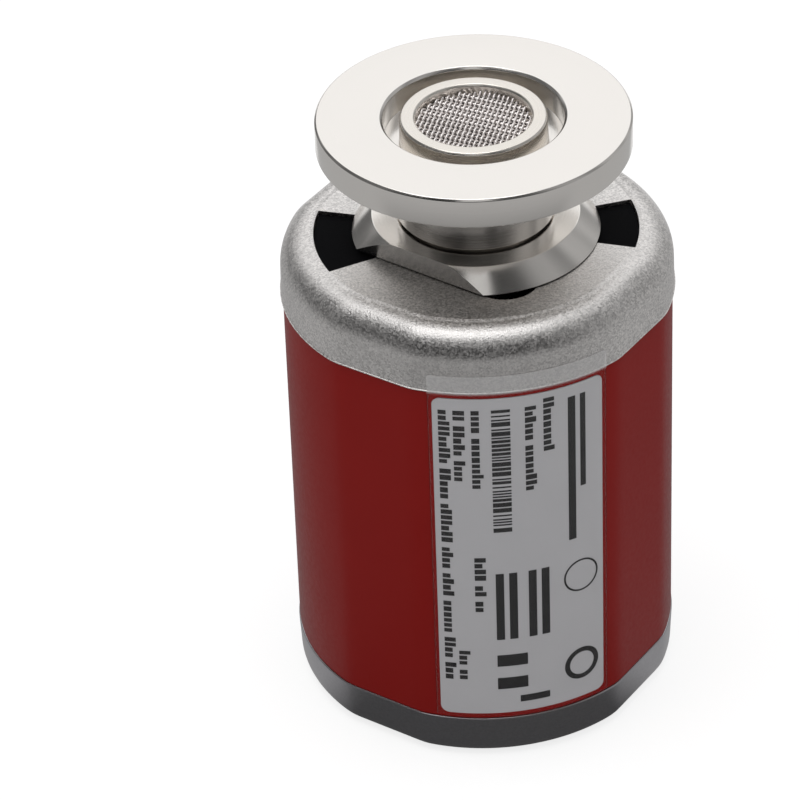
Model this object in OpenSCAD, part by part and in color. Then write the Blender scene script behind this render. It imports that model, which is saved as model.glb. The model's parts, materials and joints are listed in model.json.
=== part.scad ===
// Pirani vacuum gauge with a small clamp flange, a red sleeve and a cable socket in its base.
// Millimetres. The origin is the middle of the underside. +Z runs up to the flange face, -Y to the label.

/* [Clamp flange] */
// Outer diameter of the flange
flange_d = 30; // [27:0.5:36]
// Height of the straight rim
rim_t = 3; // [2.6:0.1:4]
// Slope of the back of the flange, degrees
taper_deg = 15; // [8:1:20]
// Diameter of the counterbore that takes the centring ring
counterbore_d = 17.2; // [16.4:0.1:19]
// Depth of the counterbore
counterbore_depth = 2.5; // [2:0.1:2.9]
// Chamfer at the mouth of the counterbore
mouth_break = 0.25; // [0.1:0.05:0.4]
// Chamfer round the flange face
face_break = 0.2; // [0.1:0.05:0.4]

/* [Neck and collar] */
// Diameter of the neck
neck_d = 15.1; // [14.6:0.1:16.5]
// Height from the collar to the rim
neck_h = 7.6; // [6.5:0.1:12]
// Width of the undercut at the foot of the neck
undercut_w = 0.3; // [0.2:0.05:0.6]
// Depth of the undercut
undercut_depth = 0.7; // [0.1:0.05:0.8]
// Diameter of the collar where it meets the cap
collar_d = 23.8; // [22:0.1:26]
// Diameter of the flat top of the collar
collar_top_d = 19.9; // [19:0.1:21.5]
// Height of the collar
collar_h = 2.1; // [1.6:0.1:3]
// Straight land at the foot of the collar
collar_land = 0.15; // [0.1:0.05:0.4]
// Distance across the two spanner flats
spanner_af = 18.8; // [17.5:0.1:19.4]
// Direction that the seen spanner flat faces, degrees
spanner_az = -137; // [-180:1:180]
// Outer diameter of the tube under the collar
tube_d = 14; // [13.7:0.1:14.3]
// Bore of the tube
bore_d = 12; // [11.8:0.1:12.2]

/* [Inlet filter] */
// Outer diameter of the holder at its top
holder_top_d = 14; // [13.2:0.1:14.1]
// Outer diameter of the holder at the counterbore floor
holder_foot_d = 14.1; // [14:0.1:14.6]
// Clear opening above the mesh
holder_bore_d = 11; // [10.9:0.1:11.7]
// Clear opening below the mesh
holder_throat_d = 10.4; // [9.6:0.1:10.8]
// Length of the spigot in the tube
holder_spigot = 3; // [1.5:0.1:5]
// Drop of the holder below the flange face
holder_drop = 0.05; // [0.02:0.01:0.3]
// Chamfer on the holder's top edges
holder_break = 0.2; // [0.05:0.05:0.3]
// Depth of the mesh below the top of the holder
mesh_depth = 0.6; // [0.4:0.1:1.2]
// Spacing of the wires
mesh_pitch = 1; // [0.95:0.05:1.6]
// Thickness of a wire
mesh_wire = 0.42; // [0.36:0.02:0.5]
// Thickness of the wall between the wires
mesh_web = 0.22; // [0.16:0.02:0.26]
// Depth to which a wire lies in that wall
wire_sink = 0.1; // [0.06:0.01:0.14]

/* [Sensor] */
// Thickness of the header that closes the tube
header_t = 1.5; // [1:0.1:3]
// Ledge of the tube that the header sits against
header_ledge = 0.42; // [0.3:0.02:0.5]
// Height of the header above the sensor board
header_lift = 4; // [2.5:0.1:7]
// Radius of the circle of pins
pin_circle_r = 3.2; // [2.8:0.1:3.6]
// Diameter of a pin
pin_d = 0.8; // [0.6:0.05:1]
// Diameter of a glass bead
glass_d = 1.8; // [1.6:0.05:2]
// Length of the pin tails under the sensor board
pin_tail = 0.8; // [0.4:0.1:1.5]
// Height of the short filament post over the header
post_short = 2.5; // [1.5:0.1:4]
// Length of the coiled filament
filament_len = 14; // [8:0.5:16]
// Number of turns of the filament
filament_turns = 22; // [12:1:26]
// Radius of the coil
filament_r = 0.5; // [0.4:0.05:0.8]
// Diameter of the filament wire
filament_wire = 0.16; // [0.1:0.02:0.2]

/* [Body section] */
// Outer radius of the sleeve on its four round sides
body_r = 18.8; // [18.6:0.1:19.6]
// How far the four flats lie inside that radius
flat_depth = 0.47; // [0.2:0.01:0.6]
// Wall of the sleeve
sleeve_t = 1.2; // [1:0.05:1.3]
// Length of the sleeve that shows
sleeve_h = 38.9; // [36:0.1:46]

/* [Top cap] */
// Height of the cap above the sleeve
cap_h = 6.2; // [5.6:0.1:8]
// Overhang of the cap's lower edge over the sleeve
cap_overhang = 0.25; // [0.1:0.05:0.5]
// Draft of the cap's side over its height
cap_draft = 0.15; // [0:0.05:0.3]
// Radius of the cap's shoulder
cap_shoulder_r = 3.4; // [2:0.1:4.4]
// Thickness of the cap's top
cap_top_t = 2.2; // [1.6:0.1:2.6]
// Depth of the spigots in the sleeve
spigot_lap = 3.5; // [2:0.1:6]
// Wall of the spigots
spigot_t = 1.3; // [1:0.05:1.6]
// Inner radius of the two windows
window_r0 = 10.5; // [10.3:0.05:10.9]
// Distance of the windows' outer edge inside the cap's side
window_edge = 3.3; // [3.2:0.1:4.4]
// Middle of the left window, degrees
window_left_mid = 174.7; // [168:0.1:182]
// Half of the left window's angle, degrees
window_left_half = 20.2; // [12:0.1:23]
// Middle of the right window, degrees
window_right_mid = -11.2; // [-16:0.1:0]
// Half of the right window's angle, degrees
window_right_half = 15.8; // [10:0.1:20]
// Radius of the round notch under the front of the collar
notch_r = 3.2; // [3:0.1:4.5]
// Distance from the axis to the far edge of the notch
notch_reach = 12.8; // [12.4:0.1:14]
// Place of the notch along X
notch_x = 0.65; // [0:0.05:1]
// Distance across the flats of the lock nut
nut_af = 17; // [16:0.1:17.5]
// Height of the lock nut
nut_h = 3; // [2:0.1:4]

/* [Inner carrier] */
// Thickness of the carrier ring
carrier_t = 2; // [1.2:0.1:3]
// Gap between the carrier ring and the sensor tube
carrier_gap = 1.5; // [0.5:0.1:2.5]
// Drop of the carrier's lugs below the top of the cap
lug_drop = 0.35; // [0.1:0.05:1]
// Middle of the first carrier leg, degrees
leg_mid = 25; // [18:1:40]
// Half of a leg's angle, degrees
leg_half = 11; // [6:1:14]
// Thickness of a carrier leg
leg_t = 1.5; // [1:0.1:1.7]

/* [Label] */
// Width of the label along the curve
label_w = 16.9; // [14:0.1:18]
// Gap between the label and the cap
label_top_gap = 0.6; // [0.4:0.1:3]
// Gap between the label and the base
label_foot_gap = 0.75; // [0.55:0.05:3]
// Radius of the label's corners
label_corner_r = 0.8; // [0.5:0.1:3]
// Thickness of the label
label_t = 0.1; // [0.06:0.02:0.16]
// Border of the clear film round the label's sides and foot
film_border = 0.42; // [0.2:0.02:0.48]
// Radius of the film's corners
film_corner_r = 0.3; // [0.1:0.1:1.2]
// Height of the film's strip on the cap
film_lap = 2; // [1:0.1:2.4]
// Thickness of the film
film_t = 0.08; // [0.04:0.02:0.12]
// Gap that the glue leaves between the film and what it covers
film_gap = 0.02; // [0.01:0.01:0.04]

/* [Base cover] */
// Height of the base that shows under the sleeve
base_h = 4.7; // [4.4:0.1:7]
// Step of the base inside the sleeve's radius
base_step = 0.05; // [0:0.01:0.3]
// Radius of the base's lower edge
base_edge_r = 1.7; // [0.8:0.1:2.4]
// Thickness of the base's floor
base_floor_t = 2.6; // [2:0.1:3.4]
// Diameter of the hole that leads to the button
pinhole_d = 2.2; // [1.6:0.1:2.6]

/* [Tie screws] */
// Diameter of a tie screw
tie_d = 3; // [2.6:0.1:3.2]
// Diameter of its head
tie_head_d = 5.5; // [5:0.1:5.8]
// Height of its head
tie_head_h = 1.8; // [1.4:0.1:2]
// Setback of its head from the underside
tie_setback = 0.4; // [0.2:0.05:0.8]
// Width of the slot for the screwdriver
tie_slot_w = 0.8; // [0.6:0.05:1.2]
// Depth of the slot for the screwdriver
tie_slot_depth = 0.8; // [0.5:0.05:1]
// Distance of the tie screws inside the sleeve's inner wall
tie_inset = 3.6; // [3.4:0.05:3.7]
// Direction of the first tie screw, degrees
tie_az = -60; // [-62:1:-58]
// Diameter of the cap's screw bosses
tie_boss_d = 5.2; // [4.8:0.1:5.6]
// Length of the cap's screw bosses
tie_boss_h = 6.5; // [4:0.1:9]
// Wall of the base's pads round the screw heads
tie_pad_wall = 1.1; // [0.8:0.05:1.2]
// Thickness of the base's pads above the screw heads
tie_pad_floor = 1.4; // [1:0.1:2]
// Gap between a screw's end and the end of its hole
screw_end_gap = 1; // [0.5:0.1:1.5]

/* [Boards] */
// Thickness of the two circuit boards
board_t = 1.6; // [1:0.1:2]
// Space between the two boards
board_gap = 6.2; // [5.8:0.1:8]
// Gap between the base board and the sleeve
board_gap_side = 0.4; // [0.2:0.05:0.6]
// Radius of the round sensor board
sensor_board_r = 12; // [11.9:0.05:12.3]
// Wall of the base's posts that carry the boards
post_wall = 1.25; // [1:0.05:1.4]
// Gap between those posts and the socket
post_gap = 0.4; // [0.3:0.05:0.6]
// Distance across the flats of a spacer
spacer_af = 4.2; // [3.8:0.1:4.4]
// Diameter of the board screws
board_screw_d = 1.9; // [1.6:0.1:2]
// Diameter of a board screw's head
board_screw_head_d = 3.8; // [3.4:0.1:4]
// Height of a board screw's head
board_screw_head_h = 1.3; // [1:0.1:1.6]

/* [Board parts] */
// Width of the stacking connector
link_w = 5; // [4.4:0.1:5.4]
// Length of the stacking connector
link_len = 10.2; // [8.6:0.1:11]
// Place of the stacking connector along X
link_x = 6.4; // [6.2:0.1:7]
// Spacing of its pins
link_pitch = 2; // [1.8:0.1:2]
// Width of its pins
link_pin_w = 0.5; // [0.4:0.05:0.6]
// Width of the controller
control_w = 7; // [5:0.5:7]
// Height of the controller
control_h = 1.2; // [0.8:0.1:2]
// Place of the controller along X
control_x = -5.4; // [-6:0.1:-4.8]
// Place of the controller along Y
control_y = 1.2; // [0:0.1:2]
// Width of a signal chip
signal_w = 4; // [3:0.1:4.4]
// Length of a signal chip
signal_len = 5; // [4:0.1:5.4]
// Height of a signal chip
signal_h = 1.4; // [0.8:0.1:2]
// Place of the signal chips along X
signal_x = 6.8; // [6.4:0.1:7]
// Place of the signal chips along Y
signal_y = 2.2; // [1.6:0.1:2.4]
// Width of the inductor
inductor_w = 5; // [4:0.1:5.2]
// Height of the inductor
inductor_h = 3; // [2:0.1:4]
// Distance of the inductor's middle from the board's edge
inductor_inset = 4.7; // [4.5:0.1:5]
// Direction of the inductor, degrees
inductor_az = -148; // [-150:1:-147]
// Diameter of the capacitor
can_d = 5; // [4:0.1:5.2]
// Height of the capacitor
can_h = 5.4; // [4:0.1:5.6]
// Distance of the capacitor's middle from the board's edge
can_inset = 4.55; // [4.4:0.05:4.8]
// Direction of the capacitor, degrees
can_az = 60; // [55:1:64]

/* [Cable socket] */
// Width of the socket
socket_w = 15.9; // [15.5:0.1:16.1]
// Depth of the socket
socket_d = 13.2; // [13:0.1:13.4]
// Height of the socket
socket_h = 14; // [13.4:0.1:15]
// Setback of its mouth from the underside
socket_setback = 0.4; // [0.2:0.05:0.8]
// Width of the plug's space
plug_w = 11.7; // [11.5:0.05:12]
// Height of the plug's space
plug_d = 6.7; // [6.5:0.05:6.9]
// Length of the plug's space
plug_len = 12.4; // [11.8:0.1:13]
// Shift of the plug's space towards the latch
plug_shift = 0.35; // [0.2:0.05:0.4]
// Width of the latch slot
latch_w = 6.5; // [5.8:0.1:7]
// Depth of the latch slot
latch_d = 1.5; // [1.2:0.1:1.7]
// Width of the latch slot's inner step
latch_step_w = 3.3; // [2.8:0.1:4]
// Depth of the latch slot's inner step
latch_step_d = 0.9; // [0.5:0.05:1]
// Number of contacts
contact_count = 8; // [4:2:10]
// Spacing of the contacts
contact_pitch = 1.02; // [0.95:0.01:1.1]
// Thickness of a contact
contact_t = 0.35; // [0.25:0.01:0.4]
// How far the contact tips reach into the plug's space
contact_reach = 1.9; // [1.4:0.1:2]
// Distance of the contacts' fold from the mouth
contact_mouth = 1.7; // [1.2:0.1:2.4]
// Distance of the contacts' tips from the mouth
contact_tip = 9; // [7:0.1:11]

/* [Button and light] */
// Width of the calibration switch
switch_w = 4.5; // [4.2:0.1:4.8]
// Height of the calibration switch
switch_h = 3.8; // [3.4:0.1:4.2]
// Diameter of the button
button_d = 2.2; // [1.8:0.1:2.6]
// Length of the button below the switch
button_out = 2.2; // [1.2:0.1:4]
// Length of the button inside the switch
button_in = 2.4; // [1.8:0.1:2.6]
// Travel of the button
button_travel = 0.25; // [0.1:0.05:0.4]
// Gap above the pressed button
button_end_gap = 0.3; // [0.1:0.05:0.4]
// Distance of the button and of the light pipe from the middle of the socket, along X
service_x = 5.5; // [5:0.1:6]
// Diameter of the light pipe
light_d = 3; // [2.4:0.1:3.2]
// Setback of the light pipe from the underside
light_setback = 0.2; // [0.1:0.05:0.5]
// Gap between the light pipe and the status light
light_gap = 0.2; // [0.1:0.05:0.4]
// Height of the status light
led_h = 0.8; // [0.5:0.05:1]
// Width of the status light
led_w = 1.6; // [1:0.1:2]
// Depth of the status light
led_d = 1.2; // [0.8:0.1:2]

/* [Clearances] */
// Clearance of pressed and screwed pieces
fit_gap = 0.02; // [0.01:0.01:0.05]
// Clearance of pieces that slip together
slip_gap = 0.1; // [0.05:0.01:0.15]
// Running clearance of the button in its switch
run_gap = 0.05; // [0.03:0.01:0.1]

/* [Hidden] */
$fn = 96;
// How far a cutter passes the face that it cuts
over = 1;
// How deep a boss or rib runs into the wall that carries it
sink = 0.3;
// Sides of the mesh wires, and sides and steps of a turn of the filament
wire_sides = 8;
coil_sides = 6;
coil_steps = 8;

// Heights of the outside, from the underside to the flange face
z_cap0 = base_h + sleeve_h;
z_cap1 = z_cap0 + cap_h;
z_collar1 = z_cap1 + collar_h;
z_rim0 = z_collar1 + neck_h;
z_face = z_rim0 + rim_t;
z_cap_under = z_cap1 - cap_top_t;
z_counterbore = z_face - counterbore_depth;
z_taper = z_rim0 - (flange_d - neck_d) / 2 * tan(taper_deg);

// Heights of the inside, from the socket up to the sensor
z_board0 = socket_setback + socket_h;
z_board1 = z_board0 + board_t;
z_sensor0 = z_board1 + board_gap;
z_sensor1 = z_sensor0 + board_t;
z_tube0 = z_sensor1 + header_lift;
z_header1 = z_tube0 + header_t;
z_filament0 = z_header1 + post_short - pin_d;
z_filament1 = z_filament0 + filament_len;

// Radii that neighbouring pieces share
cap_low_r = body_r + cap_overhang;
cap_side_r = cap_low_r - cap_draft;
spigot_r = body_r - sleeve_t - slip_gap;
cavity_r = spigot_r - spigot_t;
window_r1 = cap_side_r - window_edge;
header_r = bore_d / 2 + header_ledge;
holder_top = z_face - holder_drop;
mesh_top = holder_top - mesh_depth;
mesh_h = mesh_web / 2 + mesh_wire - wire_sink;
mesh_seat = mesh_top - 2 * mesh_h;
mesh_r = holder_bore_d / 2 - slip_gap / 2;
window_list = [[window_left_mid, window_left_half], [window_right_mid, window_right_half]];
board_r = body_r - sleeve_t - board_gap_side;
tie_circle_r = body_r - sleeve_t - tie_inset;
tie_places = [for (turn = [0, 180]) [tie_az + turn, tie_circle_r]];
spacer_circle_r = socket_d / 2 + post_gap + post_wall + board_screw_d / 2;
spacer_places = [for (side = [-1, 1]) [0, side * spacer_circle_r]];
tie_seat = tie_setback + tie_head_h;
tie_pad_r = tie_head_d / 2 + tie_pad_wall;
tie_pad_t = tie_seat + tie_pad_floor;

// Places of the button and the light, midway between the socket and the edge of the base board
service_y = (socket_d / 2 + sqrt(board_r * board_r - service_x * service_x)) / 2;
button_place = [-service_x, -service_y];
light_place = [service_x, service_y];

// Places on the base board that are set from its edge
function from_edge(az, inset) = (board_r - inset) * [cos(az), sin(az)];
inductor_place = from_edge(inductor_az, inductor_inset);
can_place = from_edge(can_az, can_inset);

// Places in the socket: the contact wall and the latch wall of the plug's space
plug_y1 = plug_d / 2 - plug_shift;
plug_y0 = plug_y1 - plug_d;

// Section of the body: a circle with four flats on its diagonals
module body_outline(r) {
    intersection() {
        circle(r);
        rotate(45)
            square(2 * (r - flat_depth), center = true);
    }
}

// Side profile of a rounded cover of height h, with its round edge on top
module crown_profile(half_low, half_top, h, edge_r) {
    polygon([[-half_low, 0], [half_low, 0], [half_top, h - edge_r], [-half_top, h - edge_r]]);
    translate([edge_r - half_top, h - edge_r - sink])
        square([2 * (half_top - edge_r), edge_r + sink]);
    for (side = [0, 1])
        mirror([side, 0])
            translate([half_top - edge_r, h - edge_r])
                intersection() {
                    circle(edge_r);
                    translate([-sink, -sink])
                        square(edge_r + 2 * sink);
                }
}

// Rounded cover over the body section: a turned crown cut by two crossed bars that carry the flats
module crown(low_r, top_r, h, edge_r) {
    intersection() {
        rotate_extrude()
            intersection() {
                crown_profile(low_r, top_r, h, edge_r);
                square([2 * low_r, 2 * h]);
            }
        flat_bar(low_r, top_r, h, edge_r, 45);
        flat_bar(low_r, top_r, h, edge_r, 135);
    }
}

// Bar with round upper edges that carries two opposite flats
module flat_bar(low_r, top_r, h, edge_r, turn) {
    rotate([0, 0, turn])
        rotate([90, 0, 0])
            linear_extrude(2 * low_r + 2 * over, center = true)
                crown_profile(low_r - flat_depth, top_r - flat_depth, h, edge_r);
}

// Ring sector with radial sides
module sector(mid, half, r0, r1) {
    intersection() {
        difference() {
            circle(r1);
            circle(r0);
        }
        polygon([[0, 0], for (step = [-1, 0, 1]) 2 * r1 * [cos(mid + step * half), sin(mid + step * half)]]);
    }
}

// Rounded rectangle in the middle of the plane
module rounded_rect(w, h, r) {
    square([w - 2 * r, h], center = true);
    square([w, h - 2 * r], center = true);
    for (x = [-1, 1], y = [-1, 1])
        translate([x * (w / 2 - r), y * (h / 2 - r)])
            circle(r);
}

// Children at the two tie screws
module at_ties() {
    for (place = tie_places)
        rotate([0, 0, place[0]])
            translate([place[1], 0, 0])
                children();
}

// Children at the two spacers
module at_spacers() {
    for (place = spacer_places)
        translate([place[0], place[1], 0])
            children();
}

// Children at the four header pins
module at_pins() {
    for (turn = [0, 90, 180, 270])
        rotate([0, 0, turn])
            translate([pin_circle_r, 0, 0])
                children();
}

// Flange, neck, collar and sensor tube, turned from one bar
module flange_tube() {
    color("gainsboro")
        difference() {
            rotate_extrude()
                polygon([
                    [header_r, z_tube0],
                    [header_r, z_header1],
                    [bore_d / 2, z_header1],
                    [bore_d / 2, z_counterbore],
                    [counterbore_d / 2, z_counterbore],
                    [counterbore_d / 2, z_face - mouth_break],
                    [counterbore_d / 2 + mouth_break, z_face],
                    [flange_d / 2 - face_break, z_face],
                    [flange_d / 2, z_face - face_break],
                    [flange_d / 2, z_rim0],
                    [neck_d / 2, z_taper],
                    [neck_d / 2, z_collar1 + undercut_w],
                    [neck_d / 2 - undercut_depth, z_collar1 + undercut_w],
                    [neck_d / 2 - undercut_depth, z_collar1],
                    [collar_top_d / 2, z_collar1],
                    [collar_d / 2, z_cap1 + collar_land],
                    [collar_d / 2, z_cap1],
                    [tube_d / 2, z_cap1],
                    [tube_d / 2, z_tube0]
                ]);
            for (turn = [0, 180])
                rotate([0, 0, spanner_az + turn])
                    translate([spanner_af / 2, -collar_d, z_cap1 - over])
                        cube([collar_d, 2 * collar_d, collar_h + 2 * over]);
        }
}

// Holder pressed into the flange, with a ledge for the mesh
module filter_holder() {
    spigot_r0 = bore_d / 2 - fit_gap;
    color("whitesmoke")
        rotate_extrude()
            polygon([
                [holder_throat_d / 2, z_counterbore - holder_spigot],
                [spigot_r0, z_counterbore - holder_spigot],
                [spigot_r0, z_counterbore],
                [holder_foot_d / 2, z_counterbore],
                [holder_top_d / 2, holder_top - holder_break],
                [holder_top_d / 2 - holder_break, holder_top],
                [holder_bore_d / 2 + holder_break, holder_top],
                [holder_bore_d / 2, holder_top - holder_break],
                [holder_bore_d / 2, mesh_seat],
                [holder_throat_d / 2, mesh_seat]
            ]);
}

// Woven wire disc: crossed ridges on one wall, with a gap between each four wires
module filter_mesh() {
    reach = floor(mesh_r / mesh_pitch);
    gap = mesh_pitch - mesh_wire;
    ridge_z = mesh_h - mesh_wire / 2;
    color("rosybrown")
        translate([0, 0, mesh_seat + mesh_h])
            intersection() {
                union() {
                    linear_extrude(mesh_web, center = true)
                        difference() {
                            circle(mesh_r);
                            for (i = [-reach : reach - 1], j = [-reach : reach - 1])
                                if (norm([i + 0.5, j + 0.5]) * mesh_pitch + gap < mesh_r + slip_gap)
                                    translate([i + 0.5, j + 0.5] * mesh_pitch)
                                        square(gap, center = true);
                        }
                    for (i = [-reach : reach], side = [0, 1])
                        rotate([0, 0, 90 * side])
                            translate([-mesh_r, i * mesh_pitch, ridge_z * (1 - 2 * side)])
                                rotate([0, 90, 0])
                                    rotate([0, 0, 180 / wire_sides])
                                        cylinder(h = 2 * mesh_r, d = mesh_wire, $fn = wire_sides);
                }
                cylinder(h = 4 * mesh_h, r = mesh_r, center = true);
            }
}

// Metal header that closes the tube
module sensor_header() {
    color("silver")
        translate([0, 0, z_tube0])
            difference() {
                cylinder(h = header_t, r = header_r - fit_gap);
                at_pins()
                    translate([0, 0, -over])
                        cylinder(h = header_t + 2 * over, d = glass_d);
            }
}

// Glass beads that insulate the pins
module header_glass() {
    color("seagreen")
        at_pins()
            translate([0, 0, z_tube0])
                difference() {
                    cylinder(h = header_t, d = glass_d - 2 * fit_gap);
                    translate([0, 0, -over])
                        cylinder(h = header_t + 2 * over, d = pin_d + 2 * fit_gap);
                }
}

// Four pins: one tall and one short filament post, and two stubs
module header_pins() {
    tops = [z_filament1 + pin_d, z_header1 + pin_d, z_header1 + post_short, z_header1 + pin_d];
    color("goldenrod")
        for (i = [0 : 3])
            rotate([0, 0, 90 * i])
                translate([pin_circle_r, 0, z_sensor0 - pin_tail])
                    cylinder(h = tops[i] - z_sensor0 + pin_tail, d = pin_d);
}

// Path of the filament: a lead from the short post, the coil, and a lead to the tall post
lead_x = pin_circle_r - pin_d / 2 - fit_gap;
coil_points = [for (k = [0 : filament_turns * coil_steps])
    let (a = 180 + 360 * k / coil_steps, part = k / (filament_turns * coil_steps))
    [filament_r * cos(a), filament_r * sin(a), z_filament0 + filament_len * part]];
filament_path = concat([[-lead_x, 0, z_filament0]], coil_points, [[lead_x, 0, z_filament1]]);

// Unit vector along v
function unit(v) = v / norm(v);

// Direction of the path at point i
function path_dir(path, i) = unit(path[min(i + 1, len(path) - 1)] - path[max(i - 1, 0)]);

// Ring of points round the path at point i
function path_ring(path, i, r, sides) =
    let (dir = path_dir(path, i), side = unit(cross([0, 0, 1], dir)), up = cross(dir, side))
    [for (k = [0 : sides - 1]) path[i] + r * (cos(360 * k / sides) * side + sin(360 * k / sides) * up)];

// Round wire swept along a path
module wire_along(path, r, sides) {
    last = len(path) - 1;
    points = [for (i = [0 : last]) each path_ring(path, i, r, sides)];
    walls = [for (i = [0 : last - 1], k = [0 : sides - 1])
        let (a = i * sides + k, b = i * sides + (k + 1) % sides)
        each [[a, a + sides, b], [b, a + sides, b + sides]]];
    first_end = [for (k = [0 : sides - 1]) k];
    last_end = [for (k = [sides - 1 : -1 : 0]) last * sides + k];
    polyhedron(points, concat(walls, [first_end, last_end]));
}

// Heated wire of the gauge
module sensor_filament() {
    color("dimgray")
        wire_along(filament_path, filament_wire / 2, coil_sides);
}

// Thin nut that clamps the cap against the collar, with its flats towards the screw bosses
module lock_nut() {
    color("darkgray")
        translate([0, 0, z_cap_under - nut_h])
            difference() {
                rotate([0, 0, tie_az + 30])
                    cylinder(h = nut_h, d = nut_af / cos(30), $fn = 6);
                translate([0, 0, -over])
                    cylinder(h = nut_h + 2 * over, d = tube_d + 2 * fit_gap);
            }
}

// Cast cap: drafted sides, round shoulder, two sector windows and a notch
module top_cap() {
    color("silver")
        difference() {
            union() {
                difference() {
                    union() {
                        translate([0, 0, z_cap0])
                            crown(cap_low_r, cap_side_r, cap_h, cap_shoulder_r);
                        translate([0, 0, z_cap0 - spigot_lap])
                            linear_extrude(spigot_lap + sink)
                                body_outline(spigot_r);
                    }
                    translate([0, 0, z_cap0 - spigot_lap - over])
                        linear_extrude(spigot_lap + over + cap_h - cap_top_t)
                            body_outline(cavity_r);
                }
                at_ties()
                    translate([0, 0, z_cap_under - tie_boss_h])
                        cylinder(h = tie_boss_h + sink, d = tie_boss_d);
            }
            at_ties()
                translate([0, 0, z_cap_under - tie_boss_h - over])
                    cylinder(h = tie_boss_h + over, d = tie_d + 2 * fit_gap);
            translate([0, 0, z_cap_under - over])
                linear_extrude(cap_top_t + 2 * over) {
                    circle(tube_d / 2 + slip_gap);
                    translate([notch_x, notch_r - notch_reach])
                        circle(notch_r);
                    for (window = window_list)
                        sector(window[0], window[1], window_r0, window_r1);
                }
        }
}

// Black moulded carrier: ring under the cap's bosses, lugs up into the windows, legs on the sensor board
module inner_carrier() {
    ring_r = cavity_r - 2 * slip_gap;
    ring_z1 = z_cap_under - tie_boss_h - slip_gap;
    ring_z0 = ring_z1 - carrier_t;
    lug_r0 = window_r0 + slip_gap;
    lug_r1 = window_r1 - slip_gap;
    lug_turn = asin(slip_gap / lug_r0);
    color("#161616")
        difference() {
            union() {
                translate([0, 0, ring_z0])
                    linear_extrude(carrier_t)
                        difference() {
                            body_outline(ring_r);
                            circle(tube_d / 2 + carrier_gap);
                        }
                translate([0, 0, ring_z1 - sink])
                    linear_extrude(z_cap1 - lug_drop - ring_z1 + sink)
                        for (window = window_list)
                            sector(window[0], window[1] - lug_turn, lug_r0, lug_r1);
                translate([0, 0, z_sensor1])
                    linear_extrude(ring_z0 + sink - z_sensor1)
                        for (turn = [0, 180])
                            sector(leg_mid + turn, leg_half, sensor_board_r - leg_t, sensor_board_r);
            }
            at_ties()
                translate([0, 0, ring_z0 - over])
                    cylinder(h = carrier_t + 2 * over, d = tie_d + 2 * slip_gap);
        }
}

// Red sleeve
module body_sleeve() {
    color("firebrick")
        translate([0, 0, base_h])
            linear_extrude(sleeve_h)
                difference() {
                    body_outline(body_r);
                    body_outline(body_r - sleeve_t);
                }
}

// Label on the front of the sleeve, between the cap and the base
label_z0 = base_h + label_foot_gap;
label_z1 = z_cap0 - label_top_gap;
label_chord = 2 * body_r * sin(label_w / body_r * 90 / PI);

// Turned shell cut to a rounded rectangle of width w on the front of the body, from z0 to z1
module front_sheet(z0, z1, w, corner_r) {
    intersection() {
        children();
        translate([0, 0, (z0 + z1) / 2])
            rotate([90, 0, 0])
                linear_extrude(2 * body_r)
                    rounded_rect(w, z1 - z0, corner_r);
    }
}

// Plain label
module rating_label() {
    color("lightgray")
        front_sheet(label_z0, label_z1, label_chord, label_corner_r)
            translate([0, 0, label_z0])
                linear_extrude(label_z1 - label_z0)
                    difference() {
                        circle(body_r + label_t);
                        circle(body_r);
                    }
}

// Clear film over the label, which steps out under the cap's edge and laps onto the cap
module label_film() {
    sleeve_film_r = body_r + label_t + film_gap;
    cap_film_r = cap_low_r + film_gap;
    film_z0 = label_z0 - film_border;
    film_z1 = z_cap0 + film_lap;
    step_z = z_cap0 - film_gap;
    color("white", 0.4)
        front_sheet(film_z0, film_z1, label_chord + 2 * film_border, film_corner_r)
            rotate_extrude()
                polygon([
                    [sleeve_film_r, film_z0],
                    [sleeve_film_r + film_t, film_z0],
                    [sleeve_film_r + film_t, step_z - film_t],
                    [cap_film_r + film_t, step_z - film_t],
                    [cap_film_r + film_t, film_z1],
                    [cap_film_r, film_z1],
                    [cap_film_r, step_z],
                    [sleeve_film_r, step_z]
                ]);
}

// Cast base: round lower edge, spigot, bosses and openings
module base_cover() {
    base_r = body_r - base_step;
    color("darkgray")
        difference() {
            union() {
                difference() {
                    union() {
                        translate([0, 0, base_h])
                            mirror([0, 0, 1])
                                crown(base_r, base_r, base_h, base_edge_r);
                        translate([0, 0, base_h - sink])
                            linear_extrude(spigot_lap + sink)
                                body_outline(spigot_r);
                    }
                    translate([0, 0, base_floor_t])
                        linear_extrude(base_h + spigot_lap)
                            body_outline(cavity_r);
                }
                at_ties()
                    translate([0, 0, base_floor_t - sink])
                        cylinder(h = tie_pad_t - base_floor_t + sink, r = tie_pad_r);
                at_spacers()
                    translate([0, 0, base_floor_t - sink])
                        cylinder(h = z_board0 - base_floor_t + sink, d = board_screw_d + 2 * post_wall);
            }
            at_ties() {
                translate([0, 0, -over])
                    cylinder(h = tie_seat + over, d = tie_head_d + 2 * slip_gap);
                translate([0, 0, -over])
                    cylinder(h = tie_pad_t + 2 * over, d = tie_d + 2 * slip_gap);
            }
            at_spacers()
                translate([0, 0, base_floor_t])
                    cylinder(h = z_board0, d = board_screw_d + 2 * fit_gap);
            translate([0, 0, base_floor_t / 2])
                cube([socket_w + 2 * slip_gap, socket_d + 2 * slip_gap, base_floor_t + 2 * over],
                    center = true);
            translate([button_place[0], button_place[1], -over])
                cylinder(h = base_floor_t + 2 * over, d = pinhole_d);
            translate([light_place[0], light_place[1], -over])
                cylinder(h = base_floor_t + 2 * over, d = light_d + 2 * fit_gap);
        }
}

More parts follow.
